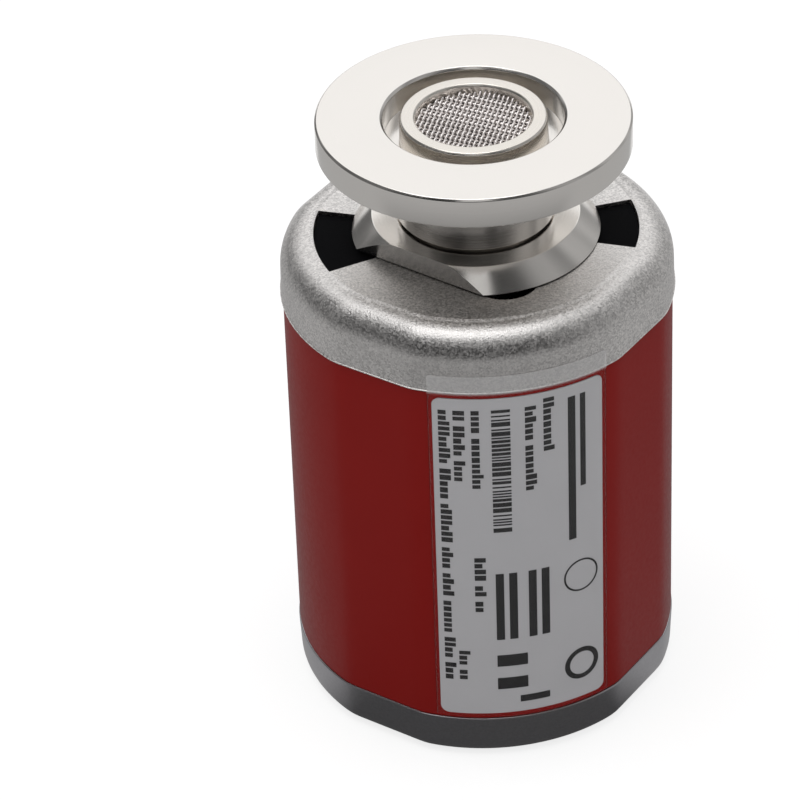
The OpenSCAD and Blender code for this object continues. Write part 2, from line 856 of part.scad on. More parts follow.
// Two long screws from the base up into the cap
module tie_screws() {
    screw_top = z_cap_under - screw_end_gap;
    color("slategray")
        at_ties()
            difference() {
                union() {
                    translate([0, 0, tie_setback])
                        cylinder(h = tie_head_h, d = tie_head_d);
                    translate([0, 0, tie_setback])
                        cylinder(h = screw_top - tie_setback, d = tie_d);
                }
                translate([0, 0, tie_setback])
                    cube([tie_slot_w, 2 * tie_head_d, 2 * tie_slot_depth], center = true);
            }
}

// Lower board, which carries the socket, the switch and the light
module base_board() {
    color("darkgreen")
        translate([0, 0, z_board0])
            linear_extrude(board_t)
                difference() {
                    body_outline(board_r);
                    for (place = tie_places)
                        rotate(place[0])
                            translate([place[1], 0])
                                circle(d = tie_d + 2 * slip_gap);
                    for (place = spacer_places)
                        translate(place)
                            circle(d = board_screw_d + 2 * slip_gap);
                }
}

// Upper board, soldered to the header pins
module sensor_board() {
    color("darkgreen")
        translate([0, 0, z_sensor0])
            linear_extrude(board_t)
                difference() {
                    circle(sensor_board_r);
                    for (place = spacer_places)
                        translate(place)
                            circle(d = board_screw_d + 2 * slip_gap);
                    for (turn = [0, 90, 180, 270])
                        rotate(turn)
                            translate([pin_circle_r, 0])
                                circle(d = pin_d + slip_gap);
                }
}

// Hexagonal spacers between the boards
module board_spacers() {
    color("lightslategray")
        at_spacers()
            translate([0, 0, z_board1])
                difference() {
                    cylinder(h = board_gap, d = spacer_af / cos(30), $fn = 6);
                    translate([0, 0, -over])
                        cylinder(h = board_gap + 2 * over, d = board_screw_d + 2 * slip_gap);
                }
}

// Screws through both boards into the base
module board_screws() {
    screw_foot = base_floor_t + screw_end_gap;
    color("slategray")
        at_spacers() {
            translate([0, 0, screw_foot])
                cylinder(h = z_sensor1 - screw_foot + sink, d = board_screw_d);
            translate([0, 0, z_sensor1])
                cylinder(h = board_screw_head_h, d = board_screw_head_d);
        }
}

// Stacking connector between the boards
module link_connector() {
    color("#222222")
        translate([link_x, 0, z_board1])
            linear_extrude(board_gap)
                difference() {
                    square([link_w, link_len], center = true);
                    for (x = [-1, 1], y = [-2 : 2])
                        translate([x * link_pitch / 2, y * link_pitch])
                            square(link_pin_w, center = true);
                }
}

// Housing of the eight-way socket, open downwards
module socket_housing() {
    color("#1c1c1c")
        translate([0, 0, socket_setback])
            difference() {
                translate([-socket_w / 2, -socket_d / 2, 0])
                    cube([socket_w, socket_d, socket_h]);
                translate([-plug_w / 2, plug_y0, -over])
                    cube([plug_w, plug_d, plug_len + over]);
                translate([-latch_w / 2, plug_y0 - latch_d, -over])
                    cube([latch_w, latch_d + over, plug_len + over]);
                translate([-latch_step_w / 2, plug_y0 - latch_d - latch_step_d, -over])
                    cube([latch_step_w, latch_step_d + over, plug_len + over]);
            }
}

// Eight folded spring contacts on the socket's wall
module socket_contacts() {
    deep = plug_len;
    tip_y = plug_y1 - contact_reach;
    fold = contact_t;
    color("gold")
        for (i = [0 : contact_count - 1])
            translate([(i - (contact_count - 1) / 2) * contact_pitch + contact_t / 2, 0, socket_setback])
                rotate([0, -90, 0])
                    linear_extrude(contact_t)
                        polygon([
                            [deep, plug_y1],
                            [contact_mouth, plug_y1],
                            [contact_mouth, plug_y1 - fold],
                            [contact_tip, tip_y],
                            [contact_tip, tip_y + fold],
                            [contact_mouth + 2 * fold, plug_y1 - fold],
                            [deep, plug_y1 - fold]
                        ]);
}

// Flat chip on a board, centred at its place, with its foot at z
module chip(place, z, w, d, h) {
    translate([place[0] - w / 2, place[1] - d / 2, z])
        cube([w, d, h]);
}

// Controller on the lower board
module control_chip() {
    color("#2a2a2a")
        chip([control_x, control_y], z_board1, control_w, control_w, control_h);
}

// Signal chips on the upper board
module signal_chips() {
    color("#2a2a2a")
        for (side = [-1, 1])
            chip(side * [signal_x, -signal_y], z_sensor1, signal_w, signal_len, signal_h);
}

// Inductor of the supply
module supply_inductor() {
    color("#3a3a3a")
        chip(inductor_place, z_board1, inductor_w, inductor_w, inductor_h);
}

// Capacitor of the supply
module supply_capacitor() {
    color("lightsteelblue")
        translate([can_place[0], can_place[1], z_board1])
            cylinder(h = can_h, d = can_d);
}

// Body of the calibration switch under the lower board
module calibration_switch() {
    hole_h = button_in + button_travel + button_end_gap;
    color("#303030")
        translate([button_place[0], button_place[1], z_board0 - switch_h])
            difference() {
                translate([-switch_w / 2, -switch_w / 2, 0])
                    cube([switch_w, switch_w, switch_h]);
                translate([0, 0, -over])
                    cylinder(h = hole_h + over, d = button_d + 2 * run_gap);
            }
}

// Button that a thin pin presses through the base
module calibration_button() {
    color("ivory")
        translate([button_place[0], button_place[1], z_board0 - switch_h - button_out])
            cylinder(h = button_out + button_in, d = button_d);
}

// Status light on the lower board
module status_light() {
    color("lime")
        chip(light_place, z_board0 - led_h, led_w, led_d, led_h);
}

// Clear pipe that brings the light to the underside
module light_pipe() {
    color("azure", 0.6)
        translate([light_place[0], light_place[1], light_setback])
            cylinder(h = z_board0 - led_h - light_gap - light_setback, d = light_d);
}

flange_tube();
filter_holder();
filter_mesh();
sensor_header();
header_glass();
header_pins();
sensor_filament();
lock_nut();
top_cap();
inner_carrier();
body_sleeve();
rating_label();
label_film();
base_cover();
tie_screws();
base_board();
sensor_board();
board_spacers();
board_screws();
link_connector();
socket_housing();
socket_contacts();
control_chip();
signal_chips();
supply_inductor();
supply_capacitor();
calibration_switch();
calibration_button();
status_light();
light_pipe();
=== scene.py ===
"""Looks of a pirani vacuum gauge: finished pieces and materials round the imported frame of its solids."""

import json
import logging
import math
import random
from contextlib import contextmanager
from dataclasses import dataclass, field
from enum import Enum
from typing import Iterator, NamedTuple, Optional, Sequence, Union

import bmesh
import bpy
from mathutils import Matrix, Vector

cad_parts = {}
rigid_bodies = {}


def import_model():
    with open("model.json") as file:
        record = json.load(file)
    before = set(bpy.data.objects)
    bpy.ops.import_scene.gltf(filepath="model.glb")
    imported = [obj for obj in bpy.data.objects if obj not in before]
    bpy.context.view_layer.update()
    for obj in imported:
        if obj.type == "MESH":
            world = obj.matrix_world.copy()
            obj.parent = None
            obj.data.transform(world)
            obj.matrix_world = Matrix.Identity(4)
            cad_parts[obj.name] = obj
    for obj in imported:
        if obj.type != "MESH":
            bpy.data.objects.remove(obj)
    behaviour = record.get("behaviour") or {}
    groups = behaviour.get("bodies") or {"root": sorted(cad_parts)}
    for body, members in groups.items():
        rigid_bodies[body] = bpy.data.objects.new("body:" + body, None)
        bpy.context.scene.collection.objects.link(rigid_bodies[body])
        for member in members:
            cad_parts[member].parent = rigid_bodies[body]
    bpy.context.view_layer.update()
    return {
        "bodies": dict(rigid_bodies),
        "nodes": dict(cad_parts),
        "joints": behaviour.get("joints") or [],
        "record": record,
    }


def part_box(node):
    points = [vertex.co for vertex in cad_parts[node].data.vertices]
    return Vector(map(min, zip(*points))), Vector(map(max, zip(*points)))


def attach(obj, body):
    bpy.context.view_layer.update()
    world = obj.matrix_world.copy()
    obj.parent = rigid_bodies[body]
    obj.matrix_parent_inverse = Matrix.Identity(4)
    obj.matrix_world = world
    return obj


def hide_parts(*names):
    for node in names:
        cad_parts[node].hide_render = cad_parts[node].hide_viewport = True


LOG = logging.getLogger("gauge")

# Pieces are modelled in millimetres and brought to metres when they are finished
MM = 0.001
# Body of the frame that every new piece rides on
GAUGE_BODY = "gauge"

# Points closer than this are merged
MERGE = 1e-4
# How far a cutter runs past what it cuts, and how far fused solids overlap
OVERRUN = 1.0
OVERLAP = 0.3
# Steps across a broken edge, and the bend in degrees from which an edge is sharp
EDGE_STEPS = 4
SHARP_DEG = 40.0
# Turns to the two sides of a feature that is there twice, degrees
BOTH_SIDES = (0, 180)

# Range in which most of a noise lies, and the full range of a number
NOISE_SPAN = (0.3, 0.7)
FULL_SPAN = (0.0, 1.0)
# Places of the two colours among a mix node's inputs, and of the mixed colour among its outputs
MIX_FIRST, MIX_SECOND, MIX_COLOUR = 6, 7, 2
WHITE = (1.0, 1.0, 1.0, 1.0)

Piece = bpy.types.Object
Socket = bpy.types.NodeSocket
Point = tuple[float, float]
Range = tuple[float, float]
Colour = tuple[float, float, float]
Input = Union[Socket, float, Sequence[float]]
Inputs = dict[Union[str, int], Input]


class Slot(str, Enum):
    """Material slots of the record."""

    STAINLESS = "stainless"
    HOLDER_STEEL = "holder_steel"
    MESH_WIRE = "mesh_wire"
    HEADER_METAL = "header_metal"
    SEAL_GLASS = "seal_glass"
    FILAMENT_WIRE = "filament_wire"
    CAST_CAP = "cast_cap"
    BLACK_MOULDING = "black_moulding"
    RED_PAINT = "red_paint"
    LABEL_SHEET = "label_sheet"
    CLEAR_FILM = "clear_film"
    CAST_BASE = "cast_base"
    SCREW_STEEL = "screw_steel"
    CIRCUIT_BOARD = "circuit_board"
    SOCKET_PLASTIC = "socket_plastic"
    CONTACT_GOLD = "contact_gold"
    CHIP_PLASTIC = "chip_plastic"
    CAN_METAL = "can_metal"
    BUTTON_PLASTIC = "button_plastic"
    LIGHT_LENS = "light_lens"
    LIGHT_PIPE = "light_pipe_clear"


class Tool(str, Enum):
    """What a tool solid does to the piece that it meets."""

    CUT = "DIFFERENCE"
    FUSE = "UNION"
    COMMON = "INTERSECT"


class Quarter(float, Enum):
    """Quarter arcs on the outside of a profile, by the angle at which each starts, degrees."""

    UNDER = -90.0
    OVER = 0.0


class Corner(NamedTuple):
    """Corner of a turned section: radius, height and how far its edge is broken."""

    r: float
    z: float
    edge: float = 0.0

    def place(self) -> Vector:
        """Place of the corner in the section."""
        return Vector((self.r, self.z))


def only(piece: Piece) -> None:
    """Selects one piece alone and makes it active.

    Args:
        piece: The piece.
    """
    bpy.ops.object.select_all(action="DESELECT")
    piece.select_set(True)
    bpy.context.view_layer.objects.active = piece


@contextmanager
def editing(piece: Piece, select: str = "SELECT") -> Iterator[bmesh.types.BMesh]:
    """Edit mode on one piece.

    Args:
        piece: The piece to edit.
        select: "SELECT" to start with all of it selected, or "DESELECT" with nothing.
    Returns:
        Its mesh in edit mode, for selecting by place.
    """
    only(piece)
    bpy.ops.object.mode_set(mode="EDIT")
    bpy.ops.mesh.select_all(action=select)
    try:
        yield bmesh.from_edit_mesh(piece.data)
    finally:
        bpy.ops.object.mode_set(mode="OBJECT")


def ring_of(name: str, points: Sequence[Sequence[float]], fill: str = "NGON") -> Piece:
    """Adds a circle and moves its points onto an outline.

    Args:
        name: Name of the new piece.
        points: Places of the outline's points, in order.
        fill: Circle fill, "NOTHING" or "NGON".
    Returns:
        The new piece.
    """
    bpy.ops.object.select_all(action="DESELECT")
    bpy.ops.mesh.primitive_circle_add(vertices=len(points), radius=1.0, fill_type=fill)
    piece = bpy.context.object
    piece.name = name
    for vertex, place in zip(piece.data.vertices, points):
        vertex.co = place
    return piece


def clean(piece: Piece) -> None:
    """Merges doubles and turns all faces outwards.

    Args:
        piece: The piece.
    """
    with editing(piece):
        bpy.ops.mesh.remove_doubles(threshold=MERGE)
        bpy.ops.mesh.normals_make_consistent(inside=False)


def broken(corners: Sequence[Corner]) -> list[Point]:
    """Outline of a closed section with its edges broken by small curves.

    Args:
        corners: Corners in order.
    Returns:
        Points of the outline, as radius and height.
    """
    points: list[Point] = []
    for before, corner, after in zip([corners[-1], *corners[:-1]], corners, [*corners[1:], corners[0]]):
        here = corner.place()
        if not corner.edge:
            points.append(tuple(here))
            continue
        start = here + (before.place() - here).normalized() * corner.edge
        end = here + (after.place() - here).normalized() * corner.edge
        for step in range(EDGE_STEPS + 1):
            t = step / EDGE_STEPS
            points.append(tuple(start * (1 - t) ** 2 + here * 2 * t * (1 - t) + end * t ** 2))
    return points


def turned(name: str, corners: Sequence[Corner], steps: int = 192) -> Piece:
    """Spins a closed section round the axis.

    Args:
        name: Name of the new piece.
        corners: Corners of the section.
        steps: Steps of the spin.
    Returns:
        The turned piece.
    """
    piece = ring_of(name, [(r, 0.0, z) for r, z in broken(corners)], "NOTHING")
    with editing(piece):
        bpy.ops.mesh.spin(
            steps=steps, angle=math.tau, center=(0, 0, 0), axis=(0, 0, 1), use_auto_merge=True)
    clean(piece)
    return piece


def prism(name: str, outline: Sequence[Point], z0: float, z1: float) -> Piece:
    """Extrudes a flat outline upwards.

    Args:
        name: Name of the new piece.
        outline: Points of the outline.
        z0: Height of its foot.
        z1: Height of its top.
    Returns:
        The extruded piece.
    """
    piece = ring_of(name, [(x, y, z0) for x, y in outline])
    with editing(piece):
        bpy.ops.mesh.extrude_region_move(TRANSFORM_OT_translate={"value": (0, 0, z1 - z0)})
    clean(piece)
    return piece


def circle(x: float, y: float, r: float, count: int = 48) -> list[Point]:
    """Points of a circle."""
    turns = [math.tau * i / count for i in range(count)]
    return [(x + r * math.cos(turn), y + r * math.sin(turn)) for turn in turns]


def rectangle(x0: float, x1: float, y0: float, y1: float) -> list[Point]:
    """Corners of a rectangle."""
    return [(x0, y0), (x1, y0), (x1, y1), (x0, y1)]


def rounded_rectangle(w: float, h: float, r: float, steps: int = 8) -> list[Point]:
    """Rectangle with round corners, centred on the origin.

    Args:
        w: Its width.
        h: Its height.
        r: Radius of its corners.
        steps: Steps round a corner.
    Returns:
        Its points.
    """
    points: list[Point] = []
    for turn, (sx, sy) in enumerate([(1, 1), (-1, 1), (-1, -1), (1, -1)]):
        for step in range(steps + 1):
            angle = math.radians(90 * (turn + step / steps))
            points.append((sx * (w / 2 - r) + r * math.cos(angle), sy * (h / 2 - r) + r * math.sin(angle)))
    return points


def arc(r: float, z: float, radius: float, quarter: Quarter, steps: int) -> list[Point]:
    """Quarter arc in a profile.

    Args:
        r: Radius at which the arc's centre lies.
        z: Height of the centre.
        radius: Radius of the arc.
        quarter: Which quarter it is.
        steps: Steps along it.
    Returns:
        Radius and height of its points.
    """
    turns = [math.radians(quarter.value + 90 * step / steps) for step in range(steps + 1)]
    return [(r + radius * math.cos(turn), z + radius * math.sin(turn)) for turn in turns]


def sector(mid: float, half: float, r0: float, r1: float, steps: int = 24) -> list[Point]:
    """Ring sector with radial sides.

    Args:
        mid: Angle of its middle, degrees.
        half: Angle from its middle to a side, degrees.
        r0: Inner radius.
        r1: Outer radius.
        steps: Steps round each arc.
    Returns:
        Its points.
    """
    angles = [math.radians(mid + half * (2 * step / steps - 1)) for step in range(steps + 1)]
    outer = [(r1 * math.cos(a), r1 * math.sin(a)) for a in angles]
    inner = [(r0 * math.cos(a), r0 * math.sin(a)) for a in reversed(angles)]
    return outer + inner


def apply(piece: Piece, modifier: bpy.types.Modifier) -> None:
    """Applies a modifier to its piece."""
    only(piece)
    bpy.ops.object.modifier_apply(modifier=modifier.name)


def work(piece: Piece, tool: Piece, how: Tool) -> None:
    """Cuts, fuses or intersects a piece with a tool solid, which is used up.

    Args:
        piece: The piece that changes.
        tool: The solid that meets it.
        how: What happens where they meet.
    """
    modifier = piece.modifiers.new("work", "BOOLEAN")
    modifier.operation = how.value
    modifier.solver = "EXACT"
    modifier.object = tool
    apply(piece, modifier)
    bpy.data.objects.remove(tool, do_unlink=True)


def cut(piece: Piece, outline: Sequence[Point], z0: float, z1: float) -> None:
    """Cuts an upright opening of an outline into a piece, from one height to another."""
    work(piece, prism("cutter", outline, z0, z1), Tool.CUT)


def fuse(piece: Piece, outline: Sequence[Point], z0: float, z1: float) -> None:
    """Adds an upright solid of an outline to a piece, from one height to another."""
    work(piece, prism("boss", outline, z0, z1), Tool.FUSE)


def soften(piece: Piece, width: float, segments: int = 2) -> None:
    """Rounds the sharp edges of a piece a little.

    Args:
        piece: The piece.
        width: Width of the rounding.
        segments: Steps across the rounding.
    """
    modifier = piece.modifiers.new("soften", "BEVEL")
    modifier.width = width
    modifier.segments = segments
    modifier.limit_method = "ANGLE"
    modifier.angle_limit = math.radians(SHARP_DEG)
    modifier.use_clamp_overlap = False
    modifier.harden_normals = False
    apply(piece, modifier)


def span(node: str) -> tuple[Vector, Vector]:
    """Lowest and highest corner of a solid of the frame, in millimetres."""
    low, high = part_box(node)
    return low / MM, high / MM


def shade(colour: Colour, factor: float) -> Colour:
    """Colour made darker or lighter."""
    return tuple(min(1.0, channel * factor) for channel in colour)


def opaque(colour: Colour) -> tuple[float, float, float, float]:
    """Colour with full cover."""
    return (*colour, 1.0)


class Sheet:
    """Node tree of a material or of the world, with short calls for the nodes that it needs."""

    def __init__(self, owner: Union[bpy.types.Material, bpy.types.World]) -> None:
        """Starts from an empty tree.

        Args:
            owner: The material or the world.
        """
        owner.use_nodes = True
        self.owner = owner
        self.tree = owner.node_tree
        self.tree.nodes.clear()

    def node(self, kind: str, inputs: Optional[Inputs] = None,
             **settings: object) -> bpy.types.bpy_prop_collection:
        """Adds a node.

        Args:
            kind: Node type without its "ShaderNode" prefix.
            inputs: Constants or sockets for its inputs, by name or place.
            settings: Settings of the node.
        Returns:
            Its outputs.
        """
        node = self.tree.nodes.new("ShaderNode" + kind)
        for key, value in settings.items():
            setattr(node, key, value)
        for key, value in (inputs or {}).items():
            if isinstance(value, Socket):
                self.tree.links.new(value, node.inputs[key])
            else:
                node.inputs[key].default_value = value
        return node.outputs

    def close(self, shader: Socket) -> Union[bpy.types.Material, bpy.types.World]:
        """Links a shader to the output.

        Args:
            shader: The shader.
        Returns:
            The material or the world.
        """
        kind = "World" if isinstance(self.owner, bpy.types.World) else "Material"
        self.node("Output" + kind, {"Surface": shader})
        return self.owner

    def place(self) -> Socket:
        """Place on the object, in metres."""
        return self.node("TexCoord")["Object"]

    def point(self) -> Socket:
        """Place on the object, in millimetres."""
        return self.node("VectorMath", {0: self.place(), "Scale": 1 / MM}, operation="SCALE")["Vector"]

    def parts(self, vector: Socket) -> bpy.types.bpy_prop_collection:
        """The three numbers of a vector, by name."""
        return self.node("SeparateXYZ", {0: vector})

    def length(self, vector: Socket) -> Socket:
        """Length of a vector."""
        return self.node("VectorMath", {0: vector}, operation="LENGTH")["Value"]

    def math(self, operation: str, a: Input, b: Input = 0.0) -> Socket:
        """Result of a sum on one or two numbers."""
        return self.node("Math", {0: a, 1: b}, operation=operation)[0]

    def track(self) -> Socket:
        """Distance along a turned surface.

        Returns:
            Radius plus height, in millimetres.
        """
        place = self.parts(self.point())
        flat = self.node("CombineXYZ", {"X": place["X"], "Y": place["Y"]})["Vector"]
        return self.math("ADD", self.length(flat), place["Z"])

    def noise(self, scale: float, detail: float = 2.0, roughness: float = 0.5,
              along: Optional[Socket] = None) -> Socket:
        """Noise in space, or along one number.

        Args:
            scale: Waves in a millimetre.
            detail: Octaves.
            roughness: Share of the finer octaves.
            along: Number that the noise runs along, or none for noise in space.
        Returns:
            The noise, from 0 to 1.
        """
        inputs: Inputs = {"Scale": scale, "Detail": detail, "Roughness": roughness}
        if along is None:
            return self.node("TexNoise", {**inputs, "Vector": self.point()})["Fac"]
        return self.node("TexNoise", {**inputs, "W": along}, noise_dimensions="1D")["Fac"]

    def ramp(self, value: Input, over: Range, levels: Range, kind: str = "LINEAR") -> Socket:
        """Passes from one level to another while a number passes over a range.

        Args:
            value: The number.
            over: Where the passage starts and ends.
            levels: Level up to its start, and level from its end on.
            kind: "LINEAR", or "SMOOTHSTEP" for a soft start and end.
        Returns:
            The level.
        """
        ends = zip(("From Min", "From Max", "To Min", "To Max"), (*over, *levels))
        return self.node("MapRange", {"Value": value, **dict(ends)}, interpolation_type=kind)["Result"]

    def fade(self, value: Input, over: Range, levels: Range = FULL_SPAN) -> Socket:
        """Passes softly from one level to another while a number passes over a range."""
        return self.ramp(value, over, levels, "SMOOTHSTEP")

    def blend(self, fac: Input, a: Colour, b: Colour) -> Socket:
        """Colour between two colours."""
        inputs: Inputs = {"Factor": fac, MIX_FIRST: opaque(a), MIX_SECOND: opaque(b)}
        return self.node("Mix", inputs, data_type="RGBA")[MIX_COLOUR]

    def bump(self, height: Input, strength: float, distance: float, over: Optional[Socket] = None) -> Socket:
        """Normal bent by a height.

        Args:
            height: The height, from 0 to 1.
            strength: Share of it that shows.
            distance: Depth of the full height, in millimetres.
            over: Normal that it is laid over.
        Returns:
            The normal.
        """
        inputs: Inputs = {"Height": height, "Strength": strength, "Distance": distance * MM}
        if over is not None:
            inputs["Normal"] = over
        return self.node("Bump", inputs)["Normal"]

    def glow(self, strength: Input) -> Socket:
        """White light of a strength."""
        return self.node("Emission", {"Color": WHITE, "Strength": strength})[0]


@dataclass(frozen=True)
class Finish:
    """A finish: its slot, colour and gloss."""

    slot: Slot
    colour: Colour
    roughness: float

    def inputs(self, sheet: Sheet) -> Inputs:
        """Inputs of the surface shader, by name."""
        raise NotImplementedError

    def material(self) -> bpy.types.Material:
        """Makes the material of this finish."""
        sheet = Sheet(bpy.data.materials.new(self.slot.value))
        return sheet.close(sheet.node("BsdfPrincipled", self.inputs(sheet))["BSDF"])

    def tone(self, sheet: Sheet, fac: Socket, shades: Range) -> Socket:
        """Colour between two shades of this finish."""
        return sheet.blend(fac, *(shade(self.colour, factor) for factor in shades))

    def gloss(self, sheet: Sheet, fac: Socket, swing: float, over: Range = NOISE_SPAN) -> Socket:
        """Roughness that swings to both sides of this finish's own."""
        return sheet.ramp(fac, over, (self.roughness - swing, self.roughness + swing))


@dataclass(frozen=True)
class TurnedSteel(Finish):
    """Steel with the fine rings that a lathe leaves."""

    rings: float = 7.0
    ring_strength: float = 0.35
    ring_depth: float = 0.004
    ring_swing: Range = (-0.05, 0.06)
    haze: float = 0.25
    haze_swing: Range = (-0.03, 0.04)
    shades: Range = (0.97, 1.02)

    def inputs(self, sheet: Sheet) -> Inputs:
        """Rings across the track of the tool, under a faint haze.

        Args:
            sheet: Node tree of the material.
        Returns:
            Inputs of the surface shader.
        """
        rings = sheet.noise(self.rings, detail=4.0, roughness=0.7, along=sheet.track())
        haze = sheet.noise(self.haze, detail=3.0)
        ring_swing = sheet.ramp(rings, NOISE_SPAN, self.ring_swing)
        haze_swing = sheet.ramp(haze, NOISE_SPAN, self.haze_swing)
        return {
            "Base Color": self.tone(sheet, haze, self.shades),
            "Metallic": 1.0,
            "Roughness": sheet.math("ADD", sheet.math("ADD", ring_swing, haze_swing), self.roughness),
            "Normal": sheet.bump(rings, self.ring_strength, self.ring_depth)}


@dataclass(frozen=True)
class BlastedCasting(Finish):
    """Cast metal with a blasted, sparkling grain."""

    grain: float = 5.0
    depth: float = 0.03
    spark: float = 0.5
    glints: float = 1.3
    glint_dark: float = 0.3
    glint_light: float = 0.22
    glint_swing: float = 0.11
    swell: float = 0.8
    swell_strength: float = 0.04
    swell_depth: float = 0.12

    def inputs(self, sheet: Sheet) -> Inputs:
        """Grain over a slow swell, with crystals that each have their own shade and gloss.

        Args:
            sheet: Node tree of the material.
        Returns:
            Inputs of the surface shader.
        """
        cells = sheet.node("TexVoronoi", {"Vector": sheet.point(), "Scale": self.grain * self.glints})
        glint = sheet.node("SeparateColor", {"Color": cells["Color"]})["Red"]
        shades = (1 - self.glint_dark * self.spark, 1 + self.glint_light * self.spark)
        swell = sheet.bump(sheet.noise(self.swell), self.swell_strength, self.swell_depth)
        grain = sheet.noise(self.grain, roughness=0.6)
        return {
            "Base Color": self.tone(sheet, glint, shades),
            "Metallic": 1.0,
            "Roughness": self.gloss(sheet, glint, self.glint_swing * self.spark, FULL_SPAN),
            "Normal": sheet.bump(grain, self.spark, self.depth, over=swell)}


@dataclass(frozen=True)
class SatinPaint(Finish):
    """Sprayed paint with a faint orange peel."""

    specular: float = 0.12
    cloud: float = 0.12
    shades: Range = (0.95, 1.05)
    peel: float = 2.2
    peel_swing: float = 0.04
    peel_strength: float = 0.12
    peel_depth: float = 0.03

    def inputs(self, sheet: Sheet) -> Inputs:
        """Orange peel, and slow clouds in the colour.

        Args:
            sheet: Node tree of the material.
        Returns:
            Inputs of the surface shader.
        """
        peel = sheet.noise(self.peel)
        return {
            "Base Color": self.tone(sheet, sheet.noise(self.cloud, detail=3.0), self.shades),
            "Roughness": self.gloss(sheet, peel, self.peel_swing),
            "Specular IOR Level": self.specular,
            "Normal": sheet.bump(peel, self.peel_strength, self.peel_depth)}


@dataclass(frozen=True)
class PrintedSheet(Finish):
    """Printed label stock, or the ink on it."""

    cloud: float = 0.2
    shades: Range = (0.97, 1.03)
    grain: float = 12.0
    swing: float = 0.05

    def inputs(self, sheet: Sheet) -> Inputs:
        """Slow clouds in the colour and a fine grain in the gloss.

        Args:
            sheet: Node tree of the material.
        Returns:
            Inputs of the surface shader.
        """
        return {
            "Base Color": self.tone(sheet, sheet.noise(self.cloud, detail=3.0), self.shades),
            "Roughness": self.gloss(sheet, sheet.noise(self.grain, detail=1.0), self.swing)}


@dataclass(frozen=True)
class ClearFilm(Finish):
    """Clear film: clear where it is stuck down, hazy on the cap, and darkened along its cut sides as painted
    shade.
    """

    cover: float = 0.006
    lap_cover: float = 0.26
    lap_fade: Range = (43.5, 43.8)
    # Cover, reach and shades of the painted shade along the film's cut sides
    painted_edge_shade_cover: float = 0.2
    edge_fade: Range = (8.47, 8.53)
    edge_end: Range = (43.4, 43.5)
    painted_edge_shades: Range = (1.0, 0.02)
    cloud: float = 0.3
    cloud_cover: Range = (0.9, 1.1)
    swing: float = 0.05

    def inputs(self, sheet: Sheet) -> Inputs:
        """Cover by height and by the distance from the middle, with slow clouds; near the cut sides the
        colour turns dark as painted shade.

        Args:
            sheet: Node tree of the material.
        Returns:
            Inputs of the surface shader.
        """
        cloud = sheet.noise(self.cloud)
        place = sheet.parts(sheet.point())
        lap = sheet.ramp(place["Z"], self.lap_fade, (self.cover, self.lap_cover))
        # Painted shade: the film's colour and cover turn dark in a thin band along its cut sides
        edge = sheet.ramp(sheet.math("ABSOLUTE", place["X"]), self.edge_fade, FULL_SPAN)
        edge = sheet.math("MULTIPLY", edge, sheet.ramp(place["Z"], self.edge_end, (1.0, 0.0)))
        cover = sheet.math("MAXIMUM", lap, sheet.math("MULTIPLY", edge, self.painted_edge_shade_cover))
        return {
            "Base Color": self.tone(sheet, edge, self.painted_edge_shades),
            "Roughness": self.gloss(sheet, cloud, self.swing),
            "Alpha": sheet.math("MULTIPLY", cover, sheet.ramp(cloud, NOISE_SPAN, self.cloud_cover))}


@dataclass(frozen=True)
class Moulding(Finish):
    """Moulded plastic with a fine texture."""

    specular: float = 0.35
    shades: Range = (0.85, 1.15)
    grain: float = 6.0
    swing: float = 0.06
    strength: float = 0.3
    depth: float = 0.01

    def inputs(self, sheet: Sheet) -> Inputs:
        """One grain in colour, gloss and relief.

        Args:
            sheet: Node tree of the material.
        Returns:
            Inputs of the surface shader.
        """
        grain = sheet.noise(self.grain)
        return {
            "Base Color": self.tone(sheet, grain, self.shades),
            "Roughness": self.gloss(sheet, grain, self.swing),
            "Specular IOR Level": self.specular,
            "Normal": sheet.bump(grain, self.strength, self.depth)}


@dataclass(frozen=True)
class PlainMetal(Finish):
    """Drawn, stamped or plated metal."""

    shades: Range = (0.9, 1.06)
    grain: float = 3.0
    swing: float = 0.07

    def inputs(self, sheet: Sheet) -> Inputs:
        """One grain in colour and gloss.

        Args:
            sheet: Node tree of the material.
        Returns:
            Inputs of the surface shader.
        """
        grain = sheet.noise(self.grain, detail=3.0)
        return {
            "Base Color": self.tone(sheet, grain, self.shades),
            "Metallic": 1.0,
            "Roughness": self.gloss(sheet, grain, self.swing)}


@dataclass(frozen=True)
class ClearMoulding(Finish):
    """Clear plastic or glass."""

    passes: float = 0.8
    index: float = 1.5
    shades: Range = (0.95, 1.0)
    cloud: float = 0.8
    dulling: float = 0.06

    def inputs(self, sheet: Sheet) -> Inputs:
        """Slow clouds in colour and gloss.

        Args:
            sheet: Node tree of the material.
        Returns:
            Inputs of the surface shader.
        """
        cloud = sheet.noise(self.cloud)
        return {
            "Base Color": self.tone(sheet, cloud, self.shades),
            "Roughness": sheet.ramp(cloud, NOISE_SPAN, (self.roughness, self.roughness + self.dulling)),
            "Transmission Weight": self.passes,
            "IOR": self.index}


